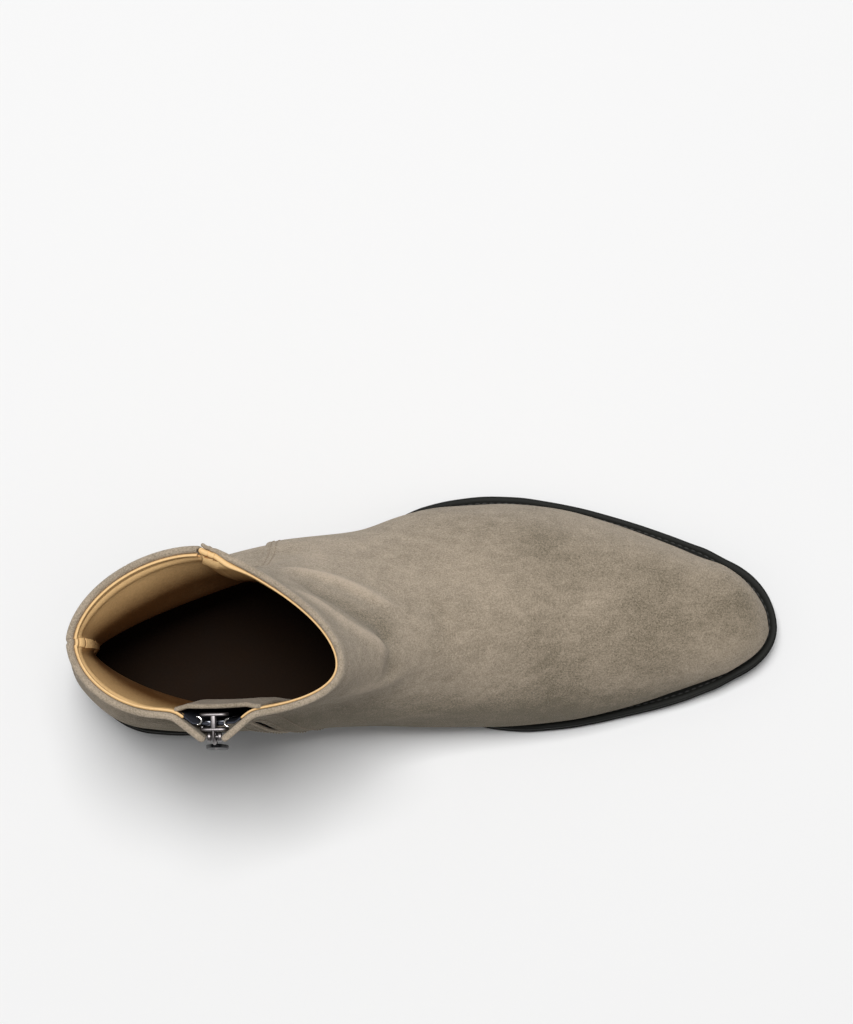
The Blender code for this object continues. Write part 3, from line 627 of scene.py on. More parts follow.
STAIN_AND_LIGHT_PATCHES = (
    StainAndLightPatch((197.0, 34.3, 47.9), 14.0, -0.45),
    StainAndLightPatch((247.0, 15.0, 42.0), 13.0, -0.35),
    StainAndLightPatch((240.0, -8.0, 45.0), 17.0, -0.40),
    StainAndLightPatch((202.0, -19.0, 52.0), 18.0, -0.40),
    StainAndLightPatch((222.0, 9.0, 50.0), 12.0, 0.12),
    # Painted highlight where the instep's outer side faces the light.
    StainAndLightPatch((160.0, 26.0, 63.0), 24.0, 0.22),
    # Painted highlight where the quarter's outer side faces the light.
    StainAndLightPatch((98.0, 38.0, 60.0), 28.0, 0.38),
    # Painted light that lifts the shade at the foot of the shaft's front.
    StainAndLightPatch((137.0, -11.0, 90.0), 9.0, 0.18),
    StainAndLightPatch((262.0, 12.0, 38.0), 12.0, 0.08),
    StainAndLightPatch((277.0, 2.0, 36.5), 16.0, -0.40),
    StainAndLightPatch((290.0, -3.0, 27.0), 13.0, -0.40),
)


class UpperFace:
    """The outer face of the suede, with its flaps, steps, folds and stitched edges."""

    TOPLINE_DROP = 5.8
    TOPLINE_BAND = 0.35
    TOPLINE_GROOVE = 0.6
    BACK_GROOVE = 0.5
    SEAM_STITCHES = (1.7, 4.1)
    SEAM_GROOVE = 0.35
    SEAM_GROOVE_WIDTH = 0.8
    UNDERLAP_DIP = 4.0
    TOE_DRAW_OUTER = 2.5
    TOE_DRAW_INNER = 1.3
    TOE_DRAW_X = (195.0, 262.0)
    TOE_DRAW_Y = (-20.0, 12.0)
    WALL_NORMAL_Z = (0.45, 0.95)
    OUTER_WALL_Y = (5.0, 28.0)
    ZIP_CLOSED_GAP = 0.12
    FLAP_SOFTNESS = 0.012
    BACK_HALF = 0.35
    BACK_SEARCH = 0.3
    BACK_STEPS = 241
    UNDERLAP_LEVEL = 0.75
    UNDERLAP_SEAM = (-1.2, 0.6)
    UNDERLAP_DIP_SEAM = (-0.2, 1.2)
    UNDERLAP_DIP_ROWS = (0.9, 1.0)
    BACK_GROOVE_WIDTH = 0.7
    BACK_NOTCH = 0.5
    BACK_NOTCH_WIDTH = 0.8
    BACK_NOTCH_ROWS = (0.97, 1.0)
    # Painted highlight along the collar's edge, and how far down it reaches.
    RIM_PAINTED_HIGHLIGHT = 0.35
    RIM_HIGHLIGHT_REACH = 1.6
    # Painted shade on the inner side: how much darker, and the normals and places where it falls.
    INNER_SIDE_PAINTED_SHADE = -1.1
    INNER_SHADE_NORMAL = (0.45, 0.95)
    INNER_SHADE_Y = (20.0, 36.0)
    EDGE = 1e-3

    def __init__(self, last: Last) -> None:
        """Keeps the last and measures its two seams.

        Args:
            last: The form of the boot.
        """
        self.last = last
        self.zip = SeamField(last, Seam.ZIP)
        self.outer_seam = SeamField(last, Seam.OUTER)

    def normal(self, row: Array, around: Array) -> Array:
        """Unit normals of the plain face: the cross product of its two small steps, turned outwards."""
        low, high = np.clip(row - self.EDGE, 0.0, 1.0), np.clip(row + self.EDGE, 0.0, 1.0)
        up = self.last.upper(high, around) - self.last.upper(low, around)
        along = self.last.upper(row, around + self.EDGE) - self.last.upper(row, around - self.EDGE)
        return unit(np.cross(along, up))

    @staticmethod
    def near_collar(row: Array) -> Array:
        """1 at the collar, dying away down the shaft, for the zip's flaps."""
        return np.exp(-(1.0 - row) / FLAP_FADE)

    def zip_half_gap(self, row: Array) -> Array:
        """Half the gap between the two edges beside the zip, closed under the zip's end."""
        gap = ZIP_HALF_GAP + (ZIP_HALF_GAP_TOP - ZIP_HALF_GAP) * self.near_collar(row)
        closed = self.ZIP_CLOSED_GAP
        return closed + (gap - closed) * smoothstep(ZIP_END - 0.02, ZIP_END + 0.03, row)

    def flap_lift(self, row: Array) -> Array:
        """How far the upper would stand out at the zip's middle line."""
        lift = FLAP_LIFT + (FLAP_LIFT_TOP - FLAP_LIFT) * self.near_collar(row)
        return lift * smoothstep(ZIP_END - 0.12, ZIP_END + 0.1, row)

    def lasted(self, plain: Array, normal: Array) -> Array:
        """How far the suede stands off the plain face: drawn in at toe and waist, fuller at the quarter.

        Args:
            plain: Points of the plain face.
            normal: Its unit normals.

        Returns:
            Distance along the normal, in mm.
        """
        x, y, z = (plain[..., k] for k in range(3))
        wall = 1.0 - smoothstep(*self.WALL_NORMAL_Z, normal[..., 2])
        widening = (self.TOE_DRAW_OUTER - self.TOE_DRAW_INNER) * smoothstep(*self.TOE_DRAW_Y, y)
        drawn = smoothstep(*self.TOE_DRAW_X, x) * (self.TOE_DRAW_INNER + widening)
        fuller = QUARTER_BULGE.at(x, z) + WAIST_DRAW.at(x, z)
        return fuller * smoothstep(*self.OUTER_WALL_Y, y) - drawn * wall

    def zip_distance(self, row: Array, around: Array) -> Array:
        """Distance in front of the zip's middle line (+) or behind it (-), and far away on the outer side."""
        turn = np.where(around > 1.0, 2.0 - around, -around)
        low, high = SeamField.ENDS
        near = self.zip.distance(row, np.clip(turn, low, high))
        return np.where((turn > low) & (turn < high), near, np.where(turn <= low, FAR, -FAR))

    def zip_frame(self, row: Array, across: Array, level: Array) -> Array:
        """Points beside the zip: across mm in front of its line, and level mm off the plain face."""
        arrays = (np.asarray(values, float) for values in (row, across, level))
        row, across, level = np.broadcast_arrays(*arrays)
        around = -self.zip.turn(row, across)
        return self.last.upper(row, around) + self.normal(row, around) * level[..., None]

    def back_distance(self, row: Array, around: Array) -> Array:
        """Distance from the back seam (+ on the outer side), and far away on the front half."""
        gap = self.last.upper(row, around)[..., 1] - self.last.upper(row, 1.0)[..., 1]
        return np.where(np.abs(around - 1.0) < self.BACK_HALF, gap, FAR)

    def back_line(self, row: Array, distance: float) -> Array:
        """Places round the boot at a distance from the back seam, + on the outer side."""
        places = np.linspace(1.0 - self.BACK_SEARCH, 1.0 + self.BACK_SEARCH, self.BACK_STEPS)
        gaps = self.back_distance(row[:, None], places[None, :])
        return np.array([np.interp(-distance, -gap, places) for gap in gaps])

    def drop(self, row: Array, around: Array) -> Array:
        """Distance down from the collar's edge: the rows that are left, times the column's own rate."""
        rate = np.linalg.norm(self.last.upper(1.0, around) - self.last.upper(0.98, around), axis=-1) / 0.02
        return (1.0 - row) * rate

    def from_outer_seam(self, row: Array, around: Array) -> Array:
        """Distance in front of the outer seam (+) or behind it (-), and far away on the inner side."""
        low, high = SeamField.ENDS
        near = self.outer_seam.distance(row, np.clip(around, low, high))
        return np.where(around > high, -FAR, np.where(around < low, FAR, near))

    def seam_fade(self, row: Array, around: Array) -> Array:
        """1 at the outer seam, dying away round the front piece."""
        ahead = np.clip(self.outer_seam.turn(row, 0.0) - around, 0.0, None)
        return np.exp(-ahead / SEAM_FADE)

    def face(self, row: Array, around: Array, part: UpperPart) -> Array:
        """The finished outer face: the plain one, lifted along its normal by flaps, steps, folds and grooves.

        Args:
            row: 0 at the sole and 1 at the collar.
            around: The place round the boot, as in Last.upper.
            part: The piece of suede that is asked for.

        Returns:
            Points in table millimetres.
        """
        row, around = np.broadcast_arrays(np.asarray(row, float), np.asarray(around, float))
        plain = self.last.upper(row, around)
        across = np.abs(self.zip_distance(row, around)) / FLAP_REACH
        flap = 0.5 * ((1.0 - across) + np.sqrt((1.0 - across) ** 2 + self.FLAP_SOFTNESS))
        flap = np.where(across < 2.0, flap, 0.0)
        normal = self.normal(row, around)
        level = self.flap_lift(row) * flap + self.lasted(plain, normal)
        drop = self.drop(row, around)
        level = level + self.TOPLINE_BAND * (1.0 - smoothstep(0.8, 1.0, drop / self.TOPLINE_DROP))
        level = level - self.TOPLINE_GROOVE * bell(drop - self.TOPLINE_DROP, self.SEAM_GROOVE_WIDTH)
        for fold in FOLDS:
            level = level + fold.height * fold.share(plain)
        if part is UpperPart.FRONT:
            fade = self.seam_fade(row, around)
            level = level + SEAM_STEP * fade
            for sewn in self.SEAM_STITCHES:
                gap = self.from_outer_seam(row, around) - sewn
                level = level - self.SEAM_GROOVE * bell(gap, self.SEAM_GROOVE_WIDTH)
            lift = COLLAR_STEP * fade * smoothstep(COLLAR_STEP_START, 1.0, row)
        else:
            under = self.from_outer_seam(row, around)
            level = level - self.UNDERLAP_LEVEL * smoothstep(*self.UNDERLAP_SEAM, under)
            from_back = self.back_distance(row, around)
            level = level - self.BACK_GROOVE * bell(from_back, self.BACK_GROOVE_WIDTH)
            dip = smoothstep(*self.UNDERLAP_DIP_SEAM, under) * smoothstep(*self.UNDERLAP_DIP_ROWS, row)
            notch = bell(from_back, self.BACK_NOTCH_WIDTH) * smoothstep(*self.BACK_NOTCH_ROWS, row)
            lift = -self.UNDERLAP_DIP * dip - self.BACK_NOTCH * notch
        points = plain + normal * level[..., None]
        points[..., 2] += lift
        return points

    def frames(self, row: Array, around: Array, part: UpperPart) -> tuple[Array, Array]:
        """Points of a line on the finished face, and the face's unit normals there.

        Args:
            row: Rows of the line's points.
            around: Their places round the boot.
            part: The piece of suede that carries them.

        Returns:
            Points and unit normals.
        """
        points = self.face(row, around, part)
        low, high = np.clip(row - 2 * self.EDGE, 0.0, 1.0), np.clip(row + 2 * self.EDGE, 0.0, 1.0)
        up = self.face(high, around, part) - self.face(low, around, part)
        along = self.face(row, around + self.EDGE, part) - self.face(row, around - self.EDGE, part)
        return points, unit(np.cross(along, up))

    def tone_and_painted_light(self, plain: Array, normal: Array, drop: Array) -> Array:
        """How much lighter (+) or darker (-) the suede is painted: painted highlights and shade of the folds,
        collar edge and inner side, and patches.
        """
        # Painted shade on the inner side, where the suede faces away from the light.
        inner = smoothstep(*self.INNER_SHADE_NORMAL, -normal[..., 1])
        inner = inner * smoothstep(*self.INNER_SHADE_Y, -plain[..., 1])
        # Painted highlight along the collar's edge, with the inner side's painted shade.
        value = self.RIM_PAINTED_HIGHLIGHT * np.exp(-drop / self.RIM_HIGHLIGHT_REACH) + self.INNER_SIDE_PAINTED_SHADE * inner
        # Painted highlight on the fold ridges and painted shade in their troughs.
        for fold in FOLDS:
            value = value + fold.tone_and_painted_light * fold.share(plain)
        # Real stains and lighter patches, with painted light on the quarter, the instep and the shaft's
        # front.
        for patch in STAIN_AND_LIGHT_PATCHES:
            gap = np.linalg.norm(plain - np.array(patch.middle), axis=-1)
            value = value + patch.tone_and_painted_light * bell(gap, patch.reach)
        return value


@dataclass
class Shape:
    """Points in table millimetres and faces as arrays of point numbers, one array for each corner count."""

    points: Array
    faces: list[Array]
    uv: Array | None = None
    values: dict[str, Array] = field(default_factory=dict)

    @staticmethod
    def grid_faces(rows: int, columns: int, wrap: bool = False, start: int = 0) -> Array:
        """Four-cornered faces of a grid whose points are numbered row by row.

        Args:
            rows: Rows of points.
            columns: Points in a row.
            wrap: Whether the last column joins the first.
            start: Number of the first point.

        Returns:
            An array of faces.
        """
        r = np.arange(rows - 1)[:, None]
        c = np.arange(columns if wrap else columns - 1)[None, :]
        after = (c + 1) % columns
        corners = (r * columns + c, r * columns + after, (r + 1) * columns + after, (r + 1) * columns + c)
        return np.stack(np.broadcast_arrays(*corners), -1).reshape(-1, 4) + start

    @classmethod
    def shell(cls, outer: Array, inner: Array, steps: int = 4) -> Shape:
        """A sheet with a thickness: two grids whose edges are joined by half circles off the sheet's edge.

        Args:
            outer: Grid of points of the outer face.
            inner: Grid of points of the inner face.
            steps: Points on each half circle.

        Returns:
            A closed shape.
        """
        rows, columns = outer.shape[:2]
        count = rows * columns
        index = np.arange(count).reshape(rows, columns)
        rim = np.concatenate([index[0, :-1], index[:-1, -1], index[-1, :0:-1], index[:0:-1, 0]])
        away = np.zeros_like(outer)
        away[0] += unit(outer[0] - outer[1])
        away[-1] += unit(outer[-1] - outer[-2])
        away[:, 0] += unit(outer[:, 0] - outer[:, 1])
        away[:, -1] += unit(outer[:, -1] - outer[:, -2])
        top, low = outer.reshape(-1, 3)[rim], inner.reshape(-1, 3)[rim]
        off = unit(away.reshape(-1, 3)[rim])
        arm = 0.5 * (top - low)
        angle = np.linspace(0.0, math.pi, steps + 2)[1:-1, None, None]
        half = np.linalg.norm(arm, axis=1, keepdims=True)
        rings = 0.5 * (top + low) + np.cos(angle) * arm + np.sin(angle) * half * off
        ring_index = 2 * count + np.arange(steps * len(rim)).reshape(steps, len(rim))
        loops = np.vstack([rim[None], ring_index, rim[None] + count])
        after = np.roll(loops, -1, axis=1)
        strips = np.stack([after[:-1], loops[:-1], loops[1:], after[1:]], -1).reshape(-1, 4)
        faces = [cls.grid_faces(rows, columns), cls.grid_faces(rows, columns)[:, ::-1] + count, strips]
        points = np.concatenate([outer.reshape(-1, 3), inner.reshape(-1, 3), rings.reshape(-1, 3)])
        return cls(points, [np.concatenate(faces)])

    @classmethod
    def lathe(cls, rings: Array, caps: bool = True) -> Shape:
        """A closed solid from a stack of closed rings, with a middle point in each end cap.

        Args:
            rings: Array of rings by points by 3.
            caps: Whether the ends are closed. Without caps the last ring joins the first.

        Returns:
            A closed shape.
        """
        rows, columns = rings.shape[:2]
        if not caps:
            rings = np.concatenate([rings, rings[:1]])
            faces = cls.grid_faces(rows + 1, columns, wrap=True) % (rows * columns)
            return cls(rings[:-1].reshape(-1, 3), [faces])
        middles = np.stack([rings[0].mean(0), rings[-1].mean(0)])
        here = np.arange(columns)
        after = (here + 1) % columns
        low = np.stack([np.full(columns, rows * columns), after, here], -1)
        last_ring = (rows - 1) * columns
        high = np.stack([np.full(columns, rows * columns + 1), last_ring + here, last_ring + after], -1)
        points = np.concatenate([rings.reshape(-1, 3), middles])
        return cls(points, [cls.grid_faces(rows, columns, wrap=True), low, high])

    @classmethod
    def tube(cls, path: Array, radius: Array | float, sides: int = 10, flat: float = 1.0) -> Shape:
        """A round bar along a path: at each point a circle across it, closed at both ends.

        Args:
            path: Points of the path.
            radius: Radius at each point, or one for all.
            sides: Points on each circle.
            flat: Share of the radius along the second direction of the circle.

        Returns:
            A closed shape.
        """
        path = np.asarray(path, float)
        along = unit(np.gradient(path, axis=0))
        spread = path.max(0) - path.min(0)
        side = np.zeros(3)
        side[np.argmin(spread)] = 1.0
        first = unit(np.cross(along, side))
        second = np.cross(along, first)
        angle = turns(sides)[None, :, None]
        reach = np.broadcast_to(np.asarray(radius, float), (len(path),))[:, None, None]
        circle = np.cos(angle) * first[:, None] + flat * np.sin(angle) * second[:, None]
        return cls.lathe(path[:, None] + reach * circle)

    @classmethod
    def slab(cls, outline: Array, half: float, edge: float, steps: int = 5) -> Shape:
        """A flat piece with rounded edges: an outline drawn in by a quarter circle towards each face.

        Args:
            outline: Points of a closed outline in its own plane, about its middle.
            half: Half the thickness.
            edge: Radius of the edges.
            steps: Rings on each rounded edge.

        Returns:
            A closed shape in x and y, with its thickness along z.
        """
        angle = np.linspace(0.0, 0.5 * math.pi, steps)
        inset, rise = edge * (1 - np.sin(angle)), half - edge + edge * np.cos(angle)
        inset, height = np.concatenate([inset, inset[::-1]]), np.concatenate([-rise, rise[::-1]])
        ahead = np.roll(outline, -1, axis=0) - np.roll(outline, 1, axis=0)
        inward = unit(np.stack([-ahead[:, 1], ahead[:, 0], np.zeros(len(outline))], -1))[:, :2]
        rings = outline[None] + inset[:, None, None] * inward[None]
        heights = np.broadcast_to(height[:, None, None], (*rings.shape[:2], 1))
        return cls.lathe(np.concatenate([rings, heights], -1))

    @classmethod
    def copies(cls, one: Shape, origins: Array, axes: Array) -> Shape:
        """Many copies of a small shape in one mesh: each is turned by its axes and moved to its origin.

        Args:
            one: The shape about its own origin.
            origins: Where each copy goes.
            axes: For each copy, its three axes as rows.

        Returns:
            All the copies.
        """
        points = np.einsum("pk,nkj->npj", one.points, axes) + origins[:, None]
        jump = (np.arange(len(origins)) * len(one.points))[:, None, None]
        faces = [(array[None] + jump).reshape(-1, array.shape[1]) for array in one.faces]
        return cls(points.reshape(-1, 3), faces)

    def moved(self, origin: Array, axes: Array) -> Shape:
        """The shape turned by its axes, given as rows, and moved to an origin."""
        return Shape(self.points @ axes + origin, self.faces)

    def reordered(self, order: Sequence[int], middle: Sequence[float] = (0.0, 0.0, 0.0)) -> Shape:
        """The shape with its axes in another order, about a middle."""
        return Shape(self.points[:, order] + np.array(middle), self.faces)

    def valued(self, name: str, face: Array, rim: float) -> Shape:
        """The shape with a number at each point: alike on both faces of a sheet, and one for its rim."""
        rest = len(self.points) - 2 * face.size
        self.values[name] = np.concatenate([face.ravel(), face.ravel(), np.full(rest, rim)])
        return self

    @staticmethod
    def joined(shapes: Sequence[Shape]) -> Shape:
        """One shape that holds all the given ones."""
        jumps = np.concatenate([[0], np.cumsum([len(shape.points) for shape in shapes])])
        faces = [array + jump for shape, jump in zip(shapes, jumps) for array in shape.faces]
        return Shape(np.concatenate([shape.points for shape in shapes]), faces)

    def volume(self) -> float:
        """The signed volume: a sixth of the sum of each triangle's triple product."""
        total = 0.0
        for array in self.faces:
            for k in range(1, array.shape[1] - 1):
                a, b, c = (self.points[array[:, i]] for i in (0, k, k + 1))
                total += float((a * np.cross(b, c)).sum()) / 6.0
        return total

    def to_object(self, name: str, crease: float) -> bpy.types.Object:
        """Makes the mesh object in metres, faces outwards, smooth but for creases.

        Args:
            name: The piece's name.
            crease: Angle in degrees past which an edge stays sharp.

        Returns:
            The object, linked to the scene.
        """
        arrays = self.faces if self.volume() > 0 else [array[:, ::-1] for array in self.faces]
        mesh = bpy.data.meshes.new(name)
        mesh.vertices.add(len(self.points))
        mesh.vertices.foreach_set("co", place(self.points).astype(np.float32).ravel())
        corners = np.concatenate([array.ravel() for array in arrays]).astype(np.int32)
        sizes = np.concatenate([np.full(len(array), array.shape[1]) for array in arrays])
        starts = np.concatenate([[0], np.cumsum(sizes)[:-1]])
        mesh.loops.add(len(corners))
        mesh.loops.foreach_set("vertex_index", corners)
        mesh.polygons.add(len(sizes))
        mesh.polygons.foreach_set("loop_start", starts.astype(np.int32))
        mesh.polygons.foreach_set("loop_total", sizes.astype(np.int32))
        mesh.update(calc_edges=True)
        if self.uv is not None:
            layer = mesh.uv_layers.new(name="weave")
            layer.data.foreach_set("uv", self.uv[corners].astype(np.float32).ravel())
        for title, numbers in self.values.items():
            attribute = mesh.attributes.new(title, "FLOAT", "POINT")
            attribute.data.foreach_set("value", numbers.astype(np.float32))
        mesh.shade_smooth()
        mesh.set_sharp_from_angle(angle=math.radians(crease))
        obj = bpy.data.objects.new(name, mesh)
        bpy.context.scene.collection.objects.link(obj)
        return obj


class Term:
    """A number that changes over a surface, with arithmetic that adds Math nodes to its sheet."""

    def __init__(self, sheet: ShaderSheet, socket: Socket) -> None:
        """Keeps the sheet and the socket that carries the number."""
        self.sheet = sheet
        self.socket = socket

    def _math(self, operation: str, first: object, second: object) -> Term:
        """One Math node on two numbers or terms."""
        node = self.sheet.node("ShaderNodeMath", {"operation": operation}, {0: first, 1: second})
        return Term(self.sheet, node.outputs[0])

    def __add__(self, other: object) -> Term:
        """The sum."""
        return self._math("ADD", self, other)

    __radd__ = __add__

    def __sub__(self, other: object) -> Term:
        """The difference."""
        return self._math("SUBTRACT", self, other)

    def __mul__(self, other: object) -> Term:
        """The product."""
        return self._math("MULTIPLY", self, other)

    __rmul__ = __mul__

    def sine(self) -> Term:
        """The sine, in radians."""
        return self._math("SINE", self, 0.0)


class ShaderSheet:
    """The nodes of one material."""

    def __init__(self, name: str) -> None:
        """Starts a material with a Principled shader.

        Args:
            name: The material's name.
        """
        self.material = bpy.data.materials.new(name)
        self.material.use_nodes = True
        self.tree = self.material.node_tree
        self.shader = self.tree.nodes["Principled BSDF"]

    def node(self, kind: str, settings: dict[str, object], inputs: dict[int | str, object]) -> bpy.types.Node:
        """Adds a node.

        Args:
            kind: Blender's name for the type of node.
            settings: Properties to set first.
            inputs: Values, terms or sockets for its inputs, by number or name.

        Returns:
            The node.
        """
        node = self.tree.nodes.new(kind)
        for key, value in settings.items():
            setattr(node, key, value)
        for key, value in inputs.items():
            self.feed(node.inputs[key], value)
        return node

    def feed(self, socket: Socket, value: object) -> None:
        """Links a term or socket to an input, or sets its value."""
        if isinstance(value, Term):
            self.tree.links.new(value.socket, socket)
        elif isinstance(value, Socket):
            self.tree.links.new(value, socket)
        else:
            socket.default_value = value

    def position(self, stretch: Triple = (1.0, 1.0, 1.0)) -> Socket:
        """Object coordinates, stretched along each axis."""
        source = self.node("ShaderNodeTexCoord", {}, {}).outputs["Object"]
        return self.node("ShaderNodeMapping", {}, {"Vector": source, "Scale": stretch}).outputs[0]

    def noise(
        self, where: Socket, size_mm: float, detail: float, rough: float, warp: float = 0.0
    ) -> Term:
        """Cloudy noise about 0, with features of about the given size.

        Args:
            where: Coordinates in metres.
            size_mm: Size of a feature.
            detail: Octaves of finer noise.
            rough: How strong the finer noise is.
            warp: How much the noise is twisted.

        Returns:
            A term from about -0.5 to 0.5.
        """
        inputs = {"Vector": where, "Scale": 1.0 / (size_mm * MM), "Detail": detail}
        inputs |= {"Roughness": rough, "Distortion": warp}
        return Term(self, self.node("ShaderNodeTexNoise", {}, inputs).outputs[0]) - 0.5

    def cells(self, where: Socket, size_mm: float) -> Term:
        """Distance to the nearest of scattered points, for a pebbled grain."""
        inputs = {"Vector": where, "Scale": 1.0 / (size_mm * MM)}
        return Term(self, self.node("ShaderNodeTexVoronoi", {"feature": "F1"}, inputs).outputs[0])

    def attribute(self, name: str) -> Term:
        """A number that the mesh carries."""
        return Term(self, self.node("ShaderNodeAttribute", {"attribute_name": name}, {}).outputs["Fac"])

    def blend(self, low: Colour, high: Colour, share: Term) -> Socket:
        """A colour between two, by a share."""
        inputs = {0: share, 6: (*low, 1.0), 7: (*high, 1.0)}
        return self.node("ShaderNodeMix", {"data_type": "RGBA"}, inputs).outputs[2]

    def bump(self, height: Term, depth_mm: float, strength: float) -> Socket:
        """Normals tilted by a height, given in shares of a depth."""
        inputs = {"Height": height, "Distance": depth_mm * MM, "Strength": strength}
        return self.node("ShaderNodeBump", {}, inputs).outputs[0]

    def set(self, **sockets: object) -> bpy.types.Material:
        """Feeds the Principled shader's sockets, named with _ for a space, and hands back the material."""
        for name, value in sockets.items():
            words = " ".join(word.upper() if word == "ior" else word.capitalize() for word in name.split("_"))
            self.feed(self.shader.inputs[words], value)
        return self.material


@dataclass(frozen=True)
class Finish:
    """What every finish has: a name, and the two colours that its noises blend."""

    name: str
    dark: Colour
    light: Colour

    def look(self, sheet: ShaderSheet) -> tuple[Term, dict[str, object]]:
        """The share of the light colour, and the shader's other sockets. Each finish has its own."""
        raise NotImplementedError

    def make(self) -> bpy.types.Material:
        """The finish's material."""
        sheet = ShaderSheet(self.name)
        share, sockets = self.look(sheet)
        return sheet.set(base_color=sheet.blend(self.dark, self.light, share), **sockets)


@dataclass(frozen=True)
class Suede(Finish):
    """Napped suede: cloudy light and dark strokes, fine grain and a soft sheen."""

    name: str = "taupe_suede"
    # The dark colour also serves the painted shade on the inner side and in the folds.
    dark: Colour = (0.135, 0.112, 0.072)
    light: Colour = (0.560, 0.458, 0.350)

    def look(self, sheet: ShaderSheet) -> tuple[Term, dict[str, object]]:
        """Colour from painted light and shade with the suede's real tone, cloud, stroke and grain noise, and
        bump from the two finest.
        """
        here = sheet.position()
        grain = sheet.noise(here, 0.75, 3.0, 0.7)
        fibre = sheet.noise(here, 0.4, 2.0, 0.7)
        stroke = sheet.noise(sheet.position((0.55, 1.0, 1.0)), 4.5, 3.0, 0.6, 0.4)
        cloud = sheet.noise(here, 30.0, 2.0, 0.5, 0.3)
        # The mesh's attribute paints highlights and shade into the colour, besides real stains.
        tone_and_painted_light = sheet.attribute("tone_and_painted_light")
        share = 0.50 + 0.45 * tone_and_painted_light + 0.4 * cloud + 0.55 * stroke + 1.3 * grain + 1.1 * fibre
        return share, dict(
            roughness=0.95,
            specular_ior_level=0.15,
            sheen_weight=0.25,
            sheen_roughness=0.5,
            sheen_tint=(0.95, 0.88, 0.80, 1.0),
            normal=sheet.bump(grain + 0.8 * fibre, 0.6, 0.9),
        )


@dataclass(frozen=True)
class LiningLeather(Finish):
    """Smooth tan lining leather with a faint grain and handling marks."""

    name: str = "tan_lining"
    # The dark colour also serves the painted shade deep inside the boot.
    dark: Colour = (0.165, 0.070, 0.019)
    light: Colour = (0.84, 0.555, 0.26)

    def look(self, sheet: ShaderSheet) -> tuple[Term, dict[str, object]]:
        """Colour from cloud and pore noise, darkened by painted shade deeper inside the boot, and bump from
        pebbled cells.
        """
        here = sheet.position()
        cloud = sheet.noise(here, 22.0, 3.0, 0.55)
        pores = sheet.noise(here, 1.1, 3.0, 0.6)
        grain = sheet.cells(here, 0.9)
        # The depth attribute paints shade that deepens down inside the boot.
        share = 0.95 + 0.4 * cloud + 0.35 * pores - 0.95 * sheet.attribute("depth")
        return share, dict(
            roughness=0.52 + 0.2 * cloud,
            specular_ior_level=0.35,
            normal=sheet.bump(grain + 0.6 * pores, 0.12, 0.6),
        )


@dataclass(frozen=True)
class Smooth(Finish):
    """Smooth leather, board or rubber with a fine grain."""

    roughness: float
    grain_mm: float
    depth_mm: float
    specular: float

    def look(self, sheet: ShaderSheet) -> tuple[Term, dict[str, object]]:
        """Colour and roughness from cloud noise, and bump from grain."""
        here = sheet.position()
        cloud = sheet.noise(here, 12.0, 3.0, 0.6)
        grain = sheet.noise(here, self.grain_mm, 3.0, 0.6)
        cells = sheet.cells(here, self.grain_mm * 1.3)
        return 0.5 + 0.6 * cloud + 0.5 * grain, dict(
            roughness=self.roughness + 0.25 * cloud + 0.1 * grain,
            specular_ior_level=self.specular,
            normal=sheet.bump(grain + 0.5 * cells, self.depth_mm, 0.7),
        )


@dataclass(frozen=True)
class StackedBoard(Finish):
    """A stack of leather board, blackened, with the line of each lift showing."""

    name: str = "stacked_heel"
    dark: Colour = (0.007, 0.007, 0.006)
    light: Colour = (0.028, 0.027, 0.023)

    def look(self, sheet: ShaderSheet) -> tuple[Term, dict[str, object]]:
        """Streaks that lie along each lift."""
        streak = sheet.noise(sheet.position((0.25, 0.25, 3.0)), 1.2, 3.0, 0.6)
        cloud = sheet.noise(sheet.position(), 10.0, 2.0, 0.5)
        return 0.45 + 0.9 * streak + 0.4 * cloud, dict(
            roughness=0.52 + 0.25 * streak,
            specular_ior_level=0.2,
            normal=sheet.bump(streak, 0.08, 0.6),
        )


@dataclass(frozen=True)
class WovenTape(Finish):
    """Black herringbone zip tape, drawn in the tape's own UV map in mm; a real weave whose light threads are
    painted bright and bluish as glints.
    """

    name: str = "woven_tape"
    dark: Colour = (0.003, 0.003, 0.004)
    # The light colour is the weave's real threads, painted bright and bluish to stand in for glints.
    light: Colour = (0.105, 0.115, 0.150)
    thread_mm: float = 0.9
    rib_threads: float = 2.4
    slope: float = 2.2

    def look(self, sheet: ShaderSheet) -> tuple[Term, dict[str, object]]:
        """Two crossed waves, whose slope turns over from one rib of the tape to the next."""
        uv = sheet.node("ShaderNodeUVMap", {"uv_map": "weave"}, {}).outputs[0]
        split = sheet.node("ShaderNodeSeparateXYZ", {}, {0: uv})
        across, along = Term(sheet, split.outputs[0]), Term(sheet, split.outputs[1])
        rib = (across * (math.pi / (self.rib_threads * self.thread_mm))).sine()
        wave = (along * (FULL_TURN / self.thread_mm) + rib * self.slope).sine()
        thread = 0.5 + 0.5 * wave
        lint = sheet.noise(sheet.position(), 0.7, 2.0, 0.6)
        return 0.55 * thread + 0.5 * lint + 0.15, dict(
            roughness=0.85,
            specular_ior_level=0.25,
            normal=sheet.bump(thread + 0.4 * rib, 0.14, 0.9),
        )


@dataclass(frozen=True)
class PlatedMetal(Finish):
    """Plated metal with a fine brushed haze and small rubs."""

    roughness: float

    def look(self, sheet: ShaderSheet) -> tuple[Term, dict[str, object]]:
        """Colour and roughness from cloud noise, and bump from fine streaks."""
        cloud = sheet.noise(sheet.position(), 2.4, 3.0, 0.6)
        streak = sheet.noise(sheet.position((1.0, 1.0, 6.0)), 0.5, 2.0, 0.5)
        return 0.5 + 0.9 * cloud + 0.3 * streak, dict(
            metallic=1.0,
            roughness=self.roughness + 0.2 * cloud + 0.08 * streak,
            normal=sheet.bump(streak, 0.02, 0.4),
        )


